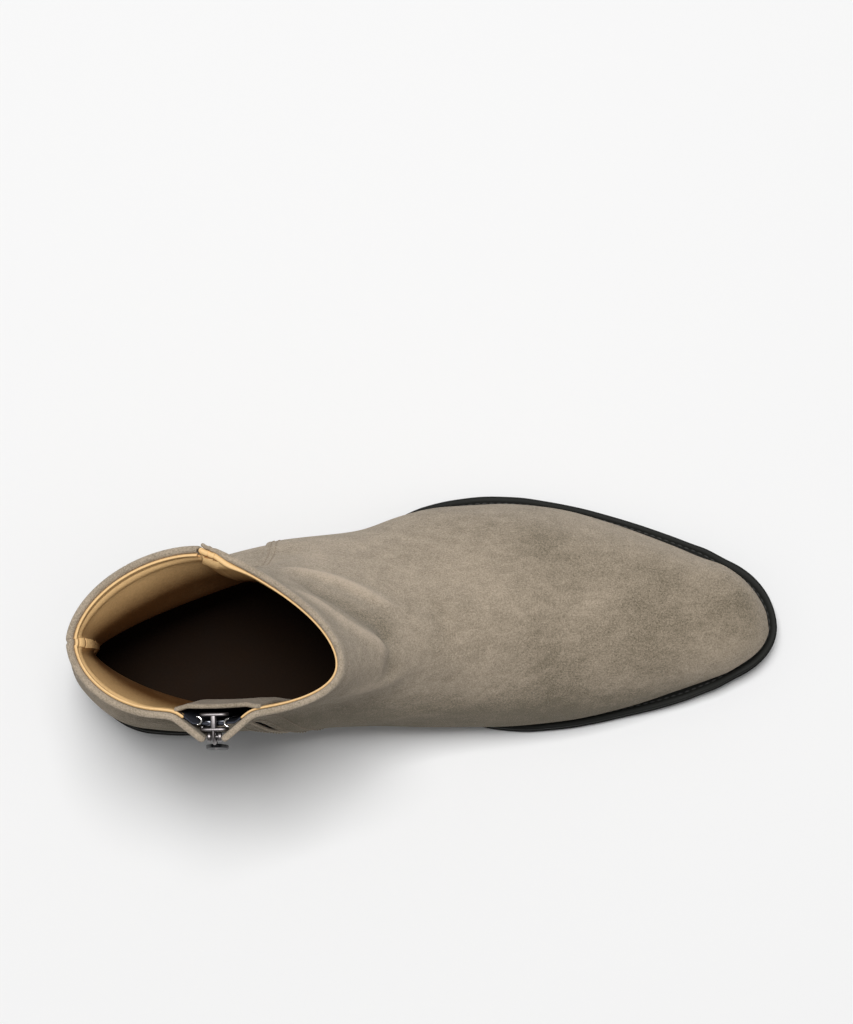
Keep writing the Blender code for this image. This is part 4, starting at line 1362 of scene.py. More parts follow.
@dataclass(frozen=True)
class Thread(Finish):
    """Waxed sewing thread with its ply showing."""

    def look(self, sheet: ShaderSheet) -> tuple[Term, dict[str, object]]:
        """Colour and bump from a fine twist of noise."""
        ply = sheet.noise(sheet.position((1.0, 1.6, 1.0)), 0.22, 2.0, 0.6)
        return 0.5 + 1.2 * ply, dict(
            roughness=0.7,
            normal=sheet.bump(ply, 0.08, 0.8),
        )


SUEDE = Suede()
LINING = LiningLeather()
INSOLE = Smooth(
    "insole_leather_dark", (0.007, 0.0035, 0.0015), (0.020, 0.010, 0.005),
    roughness=0.85, grain_mm=1.0, depth_mm=0.1, specular=0.12,
)
WELT_BLACK = Smooth(
    "welt_black", (0.005, 0.005, 0.0045), (0.019, 0.020, 0.017),
    roughness=0.62, grain_mm=0.6, depth_mm=0.06, specular=0.16,
)
SOLE_RUBBER = Smooth(
    "sole_rubber", (0.005, 0.005, 0.0045), (0.017, 0.017, 0.0155),
    roughness=0.68, grain_mm=0.5, depth_mm=0.07, specular=0.16,
)
MIDSOLE = Smooth(
    "midsole_board", (0.14, 0.08, 0.04), (0.26, 0.16, 0.08),
    roughness=0.85, grain_mm=1.2, depth_mm=0.15, specular=0.4,
)
HEEL_STACK = StackedBoard()
TAPE = WovenTape()
GUNMETAL = PlatedMetal("gunmetal", (0.13, 0.12, 0.12), (0.31, 0.285, 0.285), 0.44)
TAB_BLACK = PlatedMetal("tab_black", (0.005, 0.005, 0.006), (0.020, 0.019, 0.021), 0.5)
BRIGHT = PlatedMetal("bright_stop", (0.55, 0.55, 0.53), (0.85, 0.84, 0.82), 0.16)
DARK_TEETH = PlatedMetal("dark_teeth", (0.05, 0.052, 0.06), (0.16, 0.165, 0.18), 0.34)
SUEDE_THREAD = Thread("suede_thread", (0.20, 0.155, 0.11), (0.40, 0.33, 0.25))
WELT_THREAD = Thread("welt_thread", (0.012, 0.012, 0.011), (0.050, 0.050, 0.047))


class Wardrobe:
    """Keeps one material for each finish and dresses the pieces."""

    def __init__(self) -> None:
        """Starts empty."""
        self.made: dict[str, bpy.types.Material] = {}

    def material(self, finish: Finish) -> bpy.types.Material:
        """The finish's material, made on first use."""
        if finish.name not in self.made:
            self.made[finish.name] = finish.make()
        return self.made[finish.name]

    def dress(
        self,
        shape: Shape,
        name: str,
        finish: Finish,
        body: str = BOOT,
        nodes: Sequence[str] = (),
        crease: float = 50.0,
    ) -> None:
        """Makes a piece, gives it its finish, and puts it on its body.

        Args:
            shape: The piece's shape.
            name: The piece's name.
            finish: One of the finishes.
            body: The body that it rides on.
            nodes: Solids that it stands for.
            crease: Angle past which an edge stays sharp.
        """
        obj = shape.to_object(name, crease)
        obj.data.materials.append(self.material(finish))
        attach(obj, body)
        if nodes:
            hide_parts(*nodes)
        triangles = sum(len(array) * (array.shape[1] - 2) for array in shape.faces)
        LOG.info("%s: %d triangles on %s", name, triangles, body)

    def repaint(self, node: str, finish: Finish) -> None:
        """Gives a solid that stays its finish."""
        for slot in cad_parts[node].material_slots:
            slot.material = self.material(finish)


@dataclass
class Stitching:
    """A row of stitches: thread sizes and pitch in mm."""

    pitch: float = 2.7
    length: float = 2.0
    radius: float = 0.27
    sink: float = 0.02
    tip: float = 0.03
    arch: float = 0.9
    rings: int = 7
    sides: int = 6

    def stitch(self) -> Shape:
        """One stitch along x: a bar that arches by a parabola and thins to its ends by a root."""
        along, angle = np.linspace(-1.0, 1.0, self.rings)[:, None], turns(self.sides)[None]
        thin = np.sqrt(np.clip(1.0 - np.abs(along) ** 3, 0.0, 1.0)) * self.radius + self.tip
        rise = (1.0 - along**2) * self.radius * self.arch - self.sink
        corners = (along * self.length / 2, thin * np.cos(angle), rise + thin * np.sin(angle))
        return Shape.lathe(np.stack(np.broadcast_arrays(*corners), -1))

    def along(self, points: Array, normals: Array) -> Shape:
        """Stitches at even pitch along a line on a surface.

        Args:
            points: Points of the line.
            normals: The surface's unit normals there.

        Returns:
            All the stitches of the line.
        """
        run = run_of(points)
        at = np.arange(self.pitch, run[-1] - self.pitch, self.pitch)
        origins = read_line(at, run, points)
        forward = unit(read_line(at + 0.3, run, points) - origins)
        side = unit(np.cross(unit(read_line(at, run, normals)), forward))
        return Shape.copies(self.stitch(), origins, np.stack([forward, side, np.cross(forward, side)], 1))


@dataclass
class SuedeUpper:
    """The two pieces of suede, their lining and their stitching.

    Levels, thicknesses and distances are mm, and a (low, high) pair is where a soft S starts and ends.
    """

    SUEDE_TURN: ClassVar[Range] = (0.7, 1.0)
    SUEDE_TURN_SEAM: ClassVar[Range] = (2.0, 12.0)
    UNDERLAP_SEAM: ClassVar[Range] = (-0.5, 1.5)
    LAP_SEAM: ClassVar[Range] = (4.0, 14.0)
    LAP_DROP: ClassVar[Range] = (2.0, 5.5)
    STRIP_SEAM: ClassVar[Range] = (8.0, 24.0)
    LINING_UNDERLAP_SEAM: ClassVar[Range] = (-1.5, 0.5)
    ROLL_START: ClassVar[Range] = (-1.0, 14.0)
    ROLL_END: ClassVar[Range] = (18.0, 70.0)
    # Painted shade on the lining grows from the first drop below the collar to the second.
    DEPTH_SHADE_DROP: ClassVar[Range] = (4.0, 34.0)
    STITCH_TOP: ClassVar[float] = 0.985
    BACK_STITCHES: ClassVar[tuple[float, ...]] = (-1.6, 1.6)
    ZIP_STITCHES: ClassVar[tuple[float, ...]] = (2.2, 8.5)

    face: UpperFace
    suede: float = 1.5
    turned_edge: float = 2.8
    turned_reach: float = 5.0
    rim_thinning: float = 0.35
    roll_width: float = 2.9
    underlap: float = 1.2
    lining_level: float = 1.65
    lining: float = 1.2
    lining_drop: float = 0.8
    lining_lap: float = 2.6
    lining_strip: float = 1.2
    back_roll: float = 5.0
    roll_crease: float = 0.12
    roll_crease_width: float = 0.5
    roll_fade: float = 0.8
    underlap_reach: float = 4.0
    lining_underlap_reach: float = 3.0
    # Painted highlight on the suede's rolled edges.
    rim_painted_highlight: float = 0.3
    lining_zip_front: float = 13.0
    lining_zip_rear: float = 14.0
    body_rows: int = 100
    collar_rows: int = 38
    collar_start: float = 0.94
    front_columns: int = 190
    rear_columns: int = 110
    seam_band: float = 12.0
    rear_band: float = 8.0
    zip_band: float = 19.0
    band_columns: int = 15
    band_power: float = 1.3
    heel_power: float = 1.7
    stitch_points: int = 260

    def rows(self) -> Array:
        """Rows from the sole to the collar, close together at the toe's curve and at the stitched edge."""
        even = np.linspace(0.0, 1.0, self.body_rows)
        low = self.collar_start * (even - 0.08 * np.sin(2 * math.pi * even) * (1.0 - even))
        return np.concatenate([low[:-1], np.linspace(self.collar_start, 1.0, self.collar_rows)])

    def front_places(self, rows: Array, start: Array) -> Array:
        """Places of the front piece's columns, from the zip round the toe to the outer seam.

        Args:
            rows: The rows, as a column.
            start: Distance of the first column from the zip's middle, at each row.

        Returns:
            A grid of places round the boot.
        """
        reach = np.linspace(0.0, 1.0, self.band_columns)[None] ** self.band_power
        near_zip = -self.face.zip.turn(rows, start + (self.zip_band - start) * reach)
        near_seam = self.face.outer_seam.turn(rows, np.linspace(self.seam_band, 0.0, 25)[None])
        share = np.linspace(0.0, 1.0, self.front_columns)[None, 1:-1]
        between = near_zip[:, -1:] + (near_seam[:, :1] - near_zip[:, -1:]) * share
        return np.concatenate([near_zip, between, near_seam], 1)

    def rear_places(self, rows: Array, end: Array, start: float) -> Array:
        """Places of the rear piece's columns, from under the outer seam round the heel to the zip.

        Args:
            rows: The rows, as a column.
            end: Distance of the last column behind the zip's middle, at each row.
            start: How far the piece runs on under the front piece.

        Returns:
            A grid of places round the boot.
        """
        near_seam = self.face.outer_seam.turn(rows, np.linspace(start, -self.rear_band, 16)[None])
        reach = np.linspace(1.0, 0.0, self.band_columns)[None] ** self.band_power
        near_zip = 2.0 - self.face.zip.turn(rows, -(end + (self.zip_band - end) * reach))
        share = signed_power(np.linspace(-1.0, 1.0, self.rear_columns)[1:-1], self.heel_power)
        low, high = near_seam[:, -1:], near_zip[:, :1]
        between = np.where(share < 0, 1.0 + share * (1.0 - low), 1.0 + share * (high - 1.0))
        return np.concatenate([near_seam, between, near_zip], 1)

    def sheet(
        self,
        rows: Array,
        places: Array,
        part: UpperPart,
        level: Array,
        thickness: Array,
        push: Array | float = 0.0,
    ) -> Shape:
        """A sheet that follows the upper's face, this far inside it.

        Args:
            rows: The rows, as a column.
            places: Places round the boot at each row.
            part: The piece of suede that it follows.
            level: How far its outer face is inside the suede's.
            thickness: Its thickness.
            push: How far its inner face is pushed forwards on top of that.

        Returns:
            The shape.
        """
        outer = self.face.face(rows, places, part)
        normals = unit(np.cross(np.gradient(outer, axis=0), np.gradient(outer, axis=1)))
        hint = self.face.normal(np.broadcast_to(rows, places.shape), places)
        normals = normals * np.where((normals * hint).sum(-1, keepdims=True) < 0, -1.0, 1.0)
        top = outer - normals * level[..., None]
        inner = top - normals * thickness[..., None]
        inner[..., 0] += push
        return Shape.shell(top, inner)

    def tone_and_light_of(self, shape: Shape, rows: Array, places: Array) -> Shape:
        """Adds the painted light and shade, with the suede's real tone, to a sheet, for both faces and its
        rolled edge.
        """
        plain = self.face.last.upper(np.broadcast_to(rows, places.shape), places)
        normal = self.face.normal(np.broadcast_to(rows, places.shape), places)
        return shape.valued("tone_and_painted_light", self.face.tone_and_painted_light(plain, normal, self.face.drop(rows, places)), self.rim_painted_highlight)

    def build(self, wardrobe: Wardrobe) -> None:
        """Makes and dresses both suede pieces, both linings and the stitching."""
        rows = self.rows()[:, None]
        gap = self.face.zip_half_gap(rows)
        front = self.front_places(rows, gap)
        rear = self.rear_places(rows, gap, self.underlap_reach)
        for part, places in ((UpperPart.FRONT, front), (UpperPart.REAR, rear)):
            drop = self.face.drop(rows, places)
            turned = 1.0 - smoothstep(*self.SUEDE_TURN, drop / self.turned_reach)
            from_seam = self.face.from_outer_seam(rows, places)
            if part is UpperPart.FRONT:
                turned = turned * smoothstep(*self.SUEDE_TURN_SEAM, from_seam)
            thickness = self.suede + (self.turned_edge - self.suede) * turned
            if part is UpperPart.REAR:
                under = smoothstep(*self.UNDERLAP_SEAM, from_seam)
                thickness = thickness + (self.underlap - thickness) * under
            shape = self.tone_and_light_of(self.sheet(rows, places, part, np.zeros_like(drop), thickness), rows, places)
            name = f"suede_{part.value}"
            wardrobe.dress(shape, name, SUEDE, nodes=("upper",), crease=SHEET_CREASE)
        self.build_lining(wardrobe, rows)
        self.build_stitches(wardrobe)

    def build_lining(self, wardrobe: Wardrobe, rows: Array) -> None:
        """Makes the two linings: each follows its suede, and stops short at the collar and the zip."""
        front = self.front_places(rows, np.full_like(rows, self.lining_zip_front))
        rear = self.rear_places(rows, np.full_like(rows, self.lining_zip_rear), self.lining_underlap_reach)
        for part, places in ((UpperPart.FRONT, front), (UpperPart.REAR, rear)):
            rate = self.face.drop(np.zeros_like(places), places)
            lowered = rows * (1.0 - self.lining_drop / rate)
            drop = self.face.drop(lowered, places)
            turned = np.exp(-np.maximum(drop - self.lining_drop, 0.0) / self.turned_reach)
            from_seam = self.face.from_outer_seam(lowered, places)
            push = 0.0
            behind_turn = (self.turned_edge - self.suede) * turned
            if part is UpperPart.FRONT:
                near_seam = 1.0 - smoothstep(*self.LAP_SEAM, from_seam)
                lap = self.lining_lap * near_seam * smoothstep(*self.LAP_DROP, drop)
                level = self.lining_level + behind_turn * (1.0 - near_seam) + lap
                strip = 1.0 - smoothstep(*self.STRIP_SEAM, from_seam)
                thicker = self.lining_strip * strip - self.rim_thinning * (1.0 - strip)
                thickness = self.lining + thicker * turned
            else:
                level = self.lining_level + behind_turn
                seam = self.face.back_distance(lowered, places)
                fade = 1.0 - self.roll_fade * smoothstep(*self.ROLL_END, drop)
                crease = 1.0 - self.roll_crease * bell(seam, self.roll_crease_width)
                push = self.back_roll * bell(seam, self.roll_width) * crease
                push = push * smoothstep(*self.ROLL_START, drop) * fade
                thickness = self.lining * (1.0 - 0.5 * smoothstep(*self.LINING_UNDERLAP_SEAM, from_seam))
            shape = self.sheet(lowered, places, part, level, thickness, push)
            # Painted shade: the lining is made darker the deeper it lies inside the boot.
            shape.valued("depth", smoothstep(*self.DEPTH_SHADE_DROP, drop), 0.0)
            wardrobe.dress(shape, f"lining_{part.value}", LINING, crease=SHEET_CREASE)

    def build_stitches(self, wardrobe: Wardrobe) -> None:
        """Makes the stitch lines at the outer seam, round the collar, beside the zip and at the back seam."""
        face, sewing, flush = self.face, Stitching(), Stitching(sink=0.3)
        lines = []
        climb = np.linspace(0.03, self.STITCH_TOP, self.stitch_points)
        for distance in face.SEAM_STITCHES:
            around = face.outer_seam.turn(climb, distance)
            lines.append(sewing.along(*face.frames(climb, around, UpperPart.FRONT)))
        for distance in self.BACK_STITCHES:
            lines.append(flush.along(*face.frames(climb, face.back_line(climb, distance), UpperPart.REAR)))
        beside = np.linspace(ZIP_END, self.STITCH_TOP, 220)
        for distance in self.ZIP_STITCHES:
            reach = face.zip_half_gap(beside) + distance
            ahead, behind = -face.zip.turn(beside, reach), 2.0 - face.zip.turn(beside, -reach)
            lines.append(sewing.along(*face.frames(beside, ahead, UpperPart.FRONT)))
            lines.append(sewing.along(*face.frames(beside, behind, UpperPart.REAR)))
        top = np.ones((1, 1))
        gap = face.zip_half_gap(top) + 3.0
        front, rear = self.front_places(top, gap)[0, :-2], self.rear_places(top, gap, -1.0)[0]
        for part, around in ((UpperPart.FRONT, front), (UpperPart.REAR, rear)):
            around = np.interp(np.linspace(0, 1, 400), np.linspace(0, 1, len(around)), around)
            row = 1.0 - face.TOPLINE_DROP / face.drop(np.zeros_like(around), around)
            lines.append(sewing.along(*face.frames(row, around, part)))
        wardrobe.dress(Shape.joined(lines), "suede_stitches", SUEDE_THREAD)


@dataclass
class SoleUnit:
    """Welt, outsole, heel, midsole and insole. Edges are rows of (inset, height) in mm."""

    OUTSOLE_EDGE: ClassVar[Pairs] = (
        (2.2, 0.0), (1.0, 0.0), (0.4, 0.25), (0.0, 1.0), (0.0, 2.9),
        (0.15, 3.1), (0.0, 3.3), (0.0, 4.1), (0.35, 4.4), (0.8, 4.5),
    )
    TOP_PIECE_EDGE: ClassVar[Pairs] = (
        (1.6, 0.0), (0.6, 0.0), (0.15, 0.2), (0.0, 0.7), (0.0, 5.5), (0.2, 5.9), (0.6, TOP_PIECE_THICKNESS),
    )
    INSOLE_EDGE: ClassVar[Pairs] = ((0.0, 0.0), (0.0, 2.0), (0.25, 2.45), (1.0, 2.6))
    INSOLE_RELIEF_X: ClassVar[Range] = (180.0, 245.0)

    last: Last
    stations: int = 300
    groove_inset: float = 3.0
    groove_depth: float = 0.5
    groove_half: float = 0.9
    groove_power: float = 0.7
    stitch_drop: float = 0.32
    welt_round: float = 0.7
    welt_chamfer: float = 0.4
    lifts: int = 4
    lift_groove: float = 0.22
    lift_groove_width: float = 0.012
    heel_stations: int = 160
    heel_corner: float = 5.0
    heel_corner_power: float = 7.0
    insole_inset: float = 3.9
    toe_relief: float = 1.6

    def ring(self, inset: Sequence[float], lift: Sequence[float], height: Callable) -> Array:
        """Rings round the sole: x by a cosine of the way round, y from its edge, z from height and lift.

        Args:
            inset: How far each ring is in from the edge.
            lift: How far each ring is above the height.
            height: Height as a function of x.

        Returns:
            Rings by stations by 3.
        """
        way = turns(self.stations)[None]
        inset = np.asarray(inset, float)[:, None]
        x = there_and_back(way, inset, SOLE_LENGTH - 2 * inset)
        y = self.last.sole_edge(x, side_of(way), inset)
        return np.stack([x, y, height(x) + np.asarray(lift, float)[:, None]], -1)

    def capped(self, rings: Array) -> Shape:
        """A solid from rings round the sole, each end closed by strips from side to side."""
        rows, columns = rings.shape[:2]
        half = columns // 2
        here = np.arange(1, half - 1)
        strip = np.stack([here, here + 1, columns - here - 1, columns - here], -1)
        ends = np.array([[0, 1, columns - 1, 0], [half - 1, half, half + 1, half - 1]])[:, :3]
        last_ring = (rows - 1) * columns
        faces = [Shape.grid_faces(rows, columns, wrap=True), strip[:, ::-1], ends[:, ::-1]]
        faces += [strip + last_ring, ends + last_ring]
        return Shape(rings.reshape(-1, 3), faces)

    def welt(self) -> tuple[Shape, Shape]:
        """The welt, with a sewn channel round its top, and its stitches.

        Returns:
            The welt and all its stitches.
        """
        top, radius, bevel = WELT_THICKNESS, self.welt_round, self.welt_chamfer
        angle = np.linspace(0.0, 0.5 * math.pi, 4)
        share = np.linspace(-1.0, 1.0, 9)
        channel = top - self.groove_depth * (1 - np.abs(share)) ** self.groove_power
        inset = np.concatenate([
            radius * (1 - np.cos(angle)),
            self.groove_inset + share * self.groove_half,
            [WELT_WIDTH, WELT_WIDTH, bevel, 0.0],
        ])
        lift = np.concatenate([top - radius + radius * np.sin(angle), channel, [top, 0.0, 0.0, bevel]])
        rings = self.ring(WELT_INSET + inset, lift, self.last.welt_bottom)
        line = self.ring([WELT_INSET + self.groove_inset], [top - self.stitch_drop], self.last.welt_bottom)[0]
        line = np.concatenate([line, line[:1]])
        sewing = Stitching(pitch=3.1, length=2.3, radius=0.32, sink=0.05)
        upright = np.broadcast_to([0.0, 0.0, 1.0], line.shape)
        return Shape.lathe(rings, caps=False), sewing.along(line, upright)

    def outsole(self) -> Shape:
        """The outsole, its lower edge eased and its upper edge wheeled."""
        return self.capped(self.ring(*np.transpose(self.OUTSOLE_EDGE), self.last.sole_bottom))

    def insole(self) -> Shape:
        """The insole: a slab whose outline is the foot's less the wall, with an eased edge."""
        insets, levels = np.transpose(self.INSOLE_EDGE)[..., None]
        insets = insets + self.insole_inset
        way = turns(self.stations)[None]
        start = BACK_PROFILE[0][0] + insets
        end = FRONT_PROFILE[0][0] - self.toe_relief - insets
        x = there_and_back(way, start, end - start)
        spine = FRONT_PROFILE[0][1] * (x - start) / (end - start)
        z = self.last.feather(x) + levels
        outer = self.last.foot_half_width(x, z, 1)
        inner = -self.last.foot_half_width(x, z, -1)
        relief = self.toe_relief * smoothstep(*self.INSOLE_RELIEF_X, x)
        half = np.where(way < math.pi, outer, inner) - side_of(way) * (insets + relief)
        ends = round_end(x - start, HEEL_ROUND) * round_end(end - x, TOE_ROUND)
        return self.capped(np.stack([x, spine + half * ends, z], -1))

    def heel_rings(self, inset: Array, low: Array, share: Array) -> Array:
        """Rings of the heel: the sole's outline behind the breast, its corners a power curve.

        Args:
            inset: How far each ring is in from the sole's edge.
            low: Height of each ring where its share is 0.
            share: Share of the way up from there to the sole's underside.

        Returns:
            Rings by stations by 3.
        """
        inset, low, share = (np.asarray(values, float)[:, None] for values in (inset, low, share))
        way = turns(self.heel_stations)[None]
        power = self.heel_corner_power
        x = there_and_back(way, inset, HEEL_BREAST_X - 2 * inset)
        corner = np.clip(1.0 - (HEEL_BREAST_X - inset - x) / self.heel_corner, 0.0, 1.0)
        middle = TOE_TIP_Y * x / SOLE_LENGTH
        half = self.last.sole_edge(x, side_of(way), inset) - middle
        y = middle + half * (1.0 - corner**power) ** (1.0 / power)
        top = self.last.sole_bottom(x) - GAP
        return np.stack([x, y, low + (top - low) * share], -1)

    def heel_block(self) -> Shape:
        """The stacked heel: its wall tapers in, with a fine groove at each lift."""
        share = np.linspace(0.0, 1.0, self.lifts * 10 + 1)
        near = (share * self.lifts - np.round(share * self.lifts)) / self.lifts
        groove = self.lift_groove * bell(near, self.lift_groove_width)
        insets = HEEL_INSET + HEEL_TAPER * (1.0 - share) + groove
        return self.capped(self.heel_rings(insets, np.full_like(share, TOP_PIECE_THICKNESS + GAP), share))

    def heel_top_piece(self) -> Shape:
        """The rubber piece under the heel, its edges eased."""
        insets, heights = np.transpose(self.TOP_PIECE_EDGE)
        return self.capped(self.heel_rings(HEEL_INSET + HEEL_TAPER + insets, heights, np.zeros_like(heights)))

    def build(self, wardrobe: Wardrobe) -> None:
        """Makes and dresses every piece of the sole."""
        welt, stitches = self.welt()
        for shape, name, finish, slot, nodes in (
            (welt, "sewn_welt", WELT_BLACK, "black_leather", ("welt",)),
            (stitches, "welt_stitches", WELT_THREAD, "black_leather", ()),
            (self.outsole(), "shaped_outsole", SOLE_RUBBER, "black_rubber", ("outsole",)),
            (self.heel_block(), "stacked_heel", HEEL_STACK, "black_leather", ("heel_block",)),
            (self.heel_top_piece(), "heel_rubber", SOLE_RUBBER, "black_rubber", ("heel_top_piece",)),
            (self.insole(), "footbed", INSOLE, "insole_leather", ("insole",)),
        ):
            wardrobe.dress(shape, name, finish, nodes=nodes)
        wardrobe.repaint("midsole", MIDSOLE)


@dataclass
class ZipFastener:
    """Zip tapes, teeth, stops, guard, slider and pull. Levels are mm off the upper's plain face.

    Blocks of the slider and pull are rows of half sizes, outline power, edge radius and middle, each in the
    order forward, outward, up, about the slider's middle or the pull's pivot.
    """

    SLIDER_BLOCKS: ClassVar = (
        ((5.6, 0.6, 3.9), 0.45, 0.4, (0.0, -1.6, 0.0)),
        ((5.5, 0.65, 3.9), 0.45, 0.45, (0.0, 4.2, 0.0)),
        ((1.15, 2.9, 1.7), 0.5, 0.25, (0.0, 1.3, 2.1)),
        ((0.4, 0.8, 2.0), 0.4, 0.3, (4.9, 3.6, -1.7)),
        ((0.4, 0.8, 2.0), 0.4, 0.3, (-4.9, 3.6, -1.7)),
    )
    PULL_BAR: ClassVar = ((2.78, 0.85, 1.2), 0.45, 0.4, (0.0, 0.0, -6.8))
    CHEEK_OUT: ClassVar[float] = 2.08
    CHEEK_HALF: ClassVar[Triple] = (0.7, 0.8, 3.2)
    CHEEK_Z: ClassVar[float] = -4.0
    STOPS: ClassVar[Pairs] = ((-1.0, 0.6), (1.0, 1.6))
    SPREAD_ROWS: ClassVar[Range] = (0.945, 0.965)
    GUARD_PLACES: ClassVar[tuple[float, ...]] = (-14.5, -9.5, 12.5, 18.5)

    face: UpperFace
    tooth_nose: float = 1.35
    tooth_root: float = 1.45
    tooth_half: Range = (0.62, 1.05)
    tooth_squareness: float = 0.6
    tooth_edge: float = 0.3
    bridge_foot: float = 4.6
    bridge_rise: float = 4.6
    bridge_half: float = 3.1
    bridge_squareness: float = 0.45
    bridge_radius: float = 1.12
    bridge_flat: float = 0.7
    stop_turn: float = 1.75
    stop_out: float = 6.0
    stop_half: float = 1.5
    stop_z: float = 3.8
    stop_radius: float = 0.42
    pin_half: float = 2.9
    pin_radius: float = 0.6
    neck_start: float = -7.0
    neck_length: float = 4.8
    neck_radius: float = 1.5
    cheek_radius: float = 2.0
    plate_half: float = 0.75
    plate_edge: float = 0.4
    rows: int = 90
    tooth_spread: float = 1.5
    behind_flap: float = 2.6
    cord_places: Range = (0.6, 2.6)
    cord_half: float = 0.35
    cord_reach: float = 1.1
    tape_half: float = 0.35
    tape_reach: float = 13.5
    tape_level_top: float = 1.9
    tape_columns: int = 14
    tooth_pitch: float = 1.9
    tooth_out: float = 1.15
    tooth_start: float = 0.4
    top_row: float = 0.985
    guard_level: float = -4.9
    guard_half: float = 0.9
    guard_edge_level: float = -3.6
    guard_nap: float = -0.1
    slider_z: float = 144.6
    axis_level: float = 7.1
    tab_outset: float = 3.0
    tab_half_width: float = 4.4
    tab_narrowing: float = 1.4
    tab_half_length: float = 9.5
    tab_z: float = -17.6

    def spread(self, row: Array) -> Array:
        """How far each row of teeth is drawn aside in the slider and above it."""
        return self.tooth_spread * smoothstep(*self.SPREAD_ROWS, row)

    def tape_level(self, row: Array, across: Array) -> Array:
        """Level of a tape's middle: just behind the flap, and flat where it enters the slider."""
        lift = self.face.flap_lift(row)
        behind = lift * (1.0 - across / FLAP_REACH) - self.behind_flap * np.hypot(1.0, lift / FLAP_REACH)
        return np.minimum(self.tape_level_top, behind - GAP - self.tape_half)

    def tape(self, side: int) -> Shape:
        """One tape: a strip beside the zip's line, with a rounded cord along its inner edge."""
        rows = np.linspace(ZIP_END - 0.03, self.top_row, self.rows)[:, None]
        flat = np.linspace(3.2, self.tape_reach, self.tape_columns)
        places = np.concatenate([np.linspace(*self.cord_places, 7), flat])[None]
        across = places + self.spread(rows) * (1.0 - places / self.tape_reach)
        from_cord = (places - sum(self.cord_places) / 2) / self.cord_reach
        cord = self.cord_half * np.sqrt(np.clip(1.0 - from_cord**2, 0.0, 1.0))
        level = self.tape_level(rows, across)
        outer = self.face.zip_frame(rows, side * across, level + self.tape_half + cord)
        inner = self.face.zip_frame(rows, side * across, level - self.tape_half - cord)
        shape = Shape.shell(outer, inner, steps=2)
        uv = np.stack(np.broadcast_arrays(places, run_of(outer[:, 3])[:, None]), -1).reshape(-1, 2)
        rim = np.zeros((len(shape.points) - 2 * len(uv), 2))
        shape.uv = np.concatenate([uv, uv, rim])
        return shape

    def line(self, rows: Array, across: Array, level: Array) -> tuple[Array, ...]:
        """Points of a line beside the zip with their outward, upward and forward unit axes."""
        points = self.face.zip_frame(rows, across, level)
        up = unit(np.gradient(points, axis=0))
        outward = unit(self.face.zip_frame(rows, across, level + 1.0) - points)
        forward = unit(np.cross(up, outward))
        return points, unit(np.cross(forward, up)), up, forward

    def tooth(self, side: int) -> Shape:
        """One tooth: a rounded block whose nose reaches over the zip's middle line."""
        angle = turns(10)
        reach = np.where(np.cos(angle) > 0, self.tooth_nose, self.tooth_root)
        half_up, half_out = self.tooth_half
        tall = half_up * signed_power(np.sin(angle), self.tooth_squareness)
        outline = np.stack([reach * np.cos(angle), tall], -1)
        block = Shape.slab(outline, half_out, self.tooth_edge, 3).reordered(UPRIGHT)
        return Shape(block.points * [side, 1.0, 1.0], block.faces)

    def teeth(self, side: int) -> Shape:
        """One row of teeth, half a pitch above the other row's."""
        rows = np.linspace(ZIP_END, self.top_row - 0.004, 500)
        across = self.tooth_out + self.spread(rows)
        level = np.minimum(self.tape_level(rows, across), self.tape_level_top)
        points, outward, up, forward = self.line(rows, side * across, level)
        run = run_of(points)
        start = self.tooth_start if side > 0 else self.tooth_start + self.tooth_pitch / 2
        at = np.arange(start, run[-1], self.tooth_pitch)
        pick = np.interp(at, run, np.arange(len(rows))).astype(int)
        axes = np.stack([forward[pick], outward[pick], up[pick]], 1)
        return Shape.copies(self.tooth(side), points[pick], axes)

    def guard(self) -> Shape:
        """The guard: a folded band behind the zip, whose two edges run in to the lining."""
        rows = np.linspace(ZIP_END - 0.04, 0.999, self.rows)[:, None]
        start, folded, folding, end = self.GUARD_PLACES
        places = np.linspace(start, end, 34)[None]
        inward = smoothstep(start, folded, places) * (1.0 - smoothstep(folding, end, places))
        level = self.guard_edge_level + (self.guard_level - self.guard_edge_level) * inward
        outer = self.face.zip_frame(rows, places, level + self.guard_half)
        inner = self.face.zip_frame(rows, places, level - self.guard_half)
        tone_and_painted_light = np.full(outer.shape[:2], self.guard_nap)
        return Shape.shell(outer, inner).valued("tone_and_painted_light", tone_and_painted_light, self.guard_nap)

    def slider_axes(self) -> tuple[Array, Array]:
        """The slider's middle on the upper's face, and its axes as rows: forward, outward and up."""
        rows = np.linspace(ZIP_END, 1.0, 400)
        heights = self.face.zip_frame(rows, 0.0, 0.0)[:, 2]
        row = np.interp(self.slider_z, heights, rows) + np.array([-0.02, 0.0, 0.02])
        line = self.face.zip_frame(row, 0.0, 0.0)
        outward = self.face.zip_frame(row[1], 0.0, 1.0) - line[1]
        up = unit(line[2] - line[0])
        forward = unit(np.cross(up, outward))
        return line[1], np.stack([forward, np.cross(forward, up), up])

    @staticmethod
    def block(half: Triple, power: float, edge: float, middle: Triple) -> Shape:
        """A rounded block: a power-curve outline in forward and up, with a thickness outward.

        Args:
            half: Half sizes forward, outward and up.
            power: 1 for an oval outline, and nearer 0 for a squarer one.
            edge: Radius of the edges.
            middle: Its middle, forward, outward and up.

        Returns:
            The shape in the slider's own axes.
        """
        angle = turns(48)
        wide, tall = signed_power(np.cos(angle), power), signed_power(np.sin(angle), power)
        outline = np.stack([half[0] * wide, half[2] * tall], -1)
        return Shape.slab(outline, half[1], edge).reordered(UPRIGHT, middle)

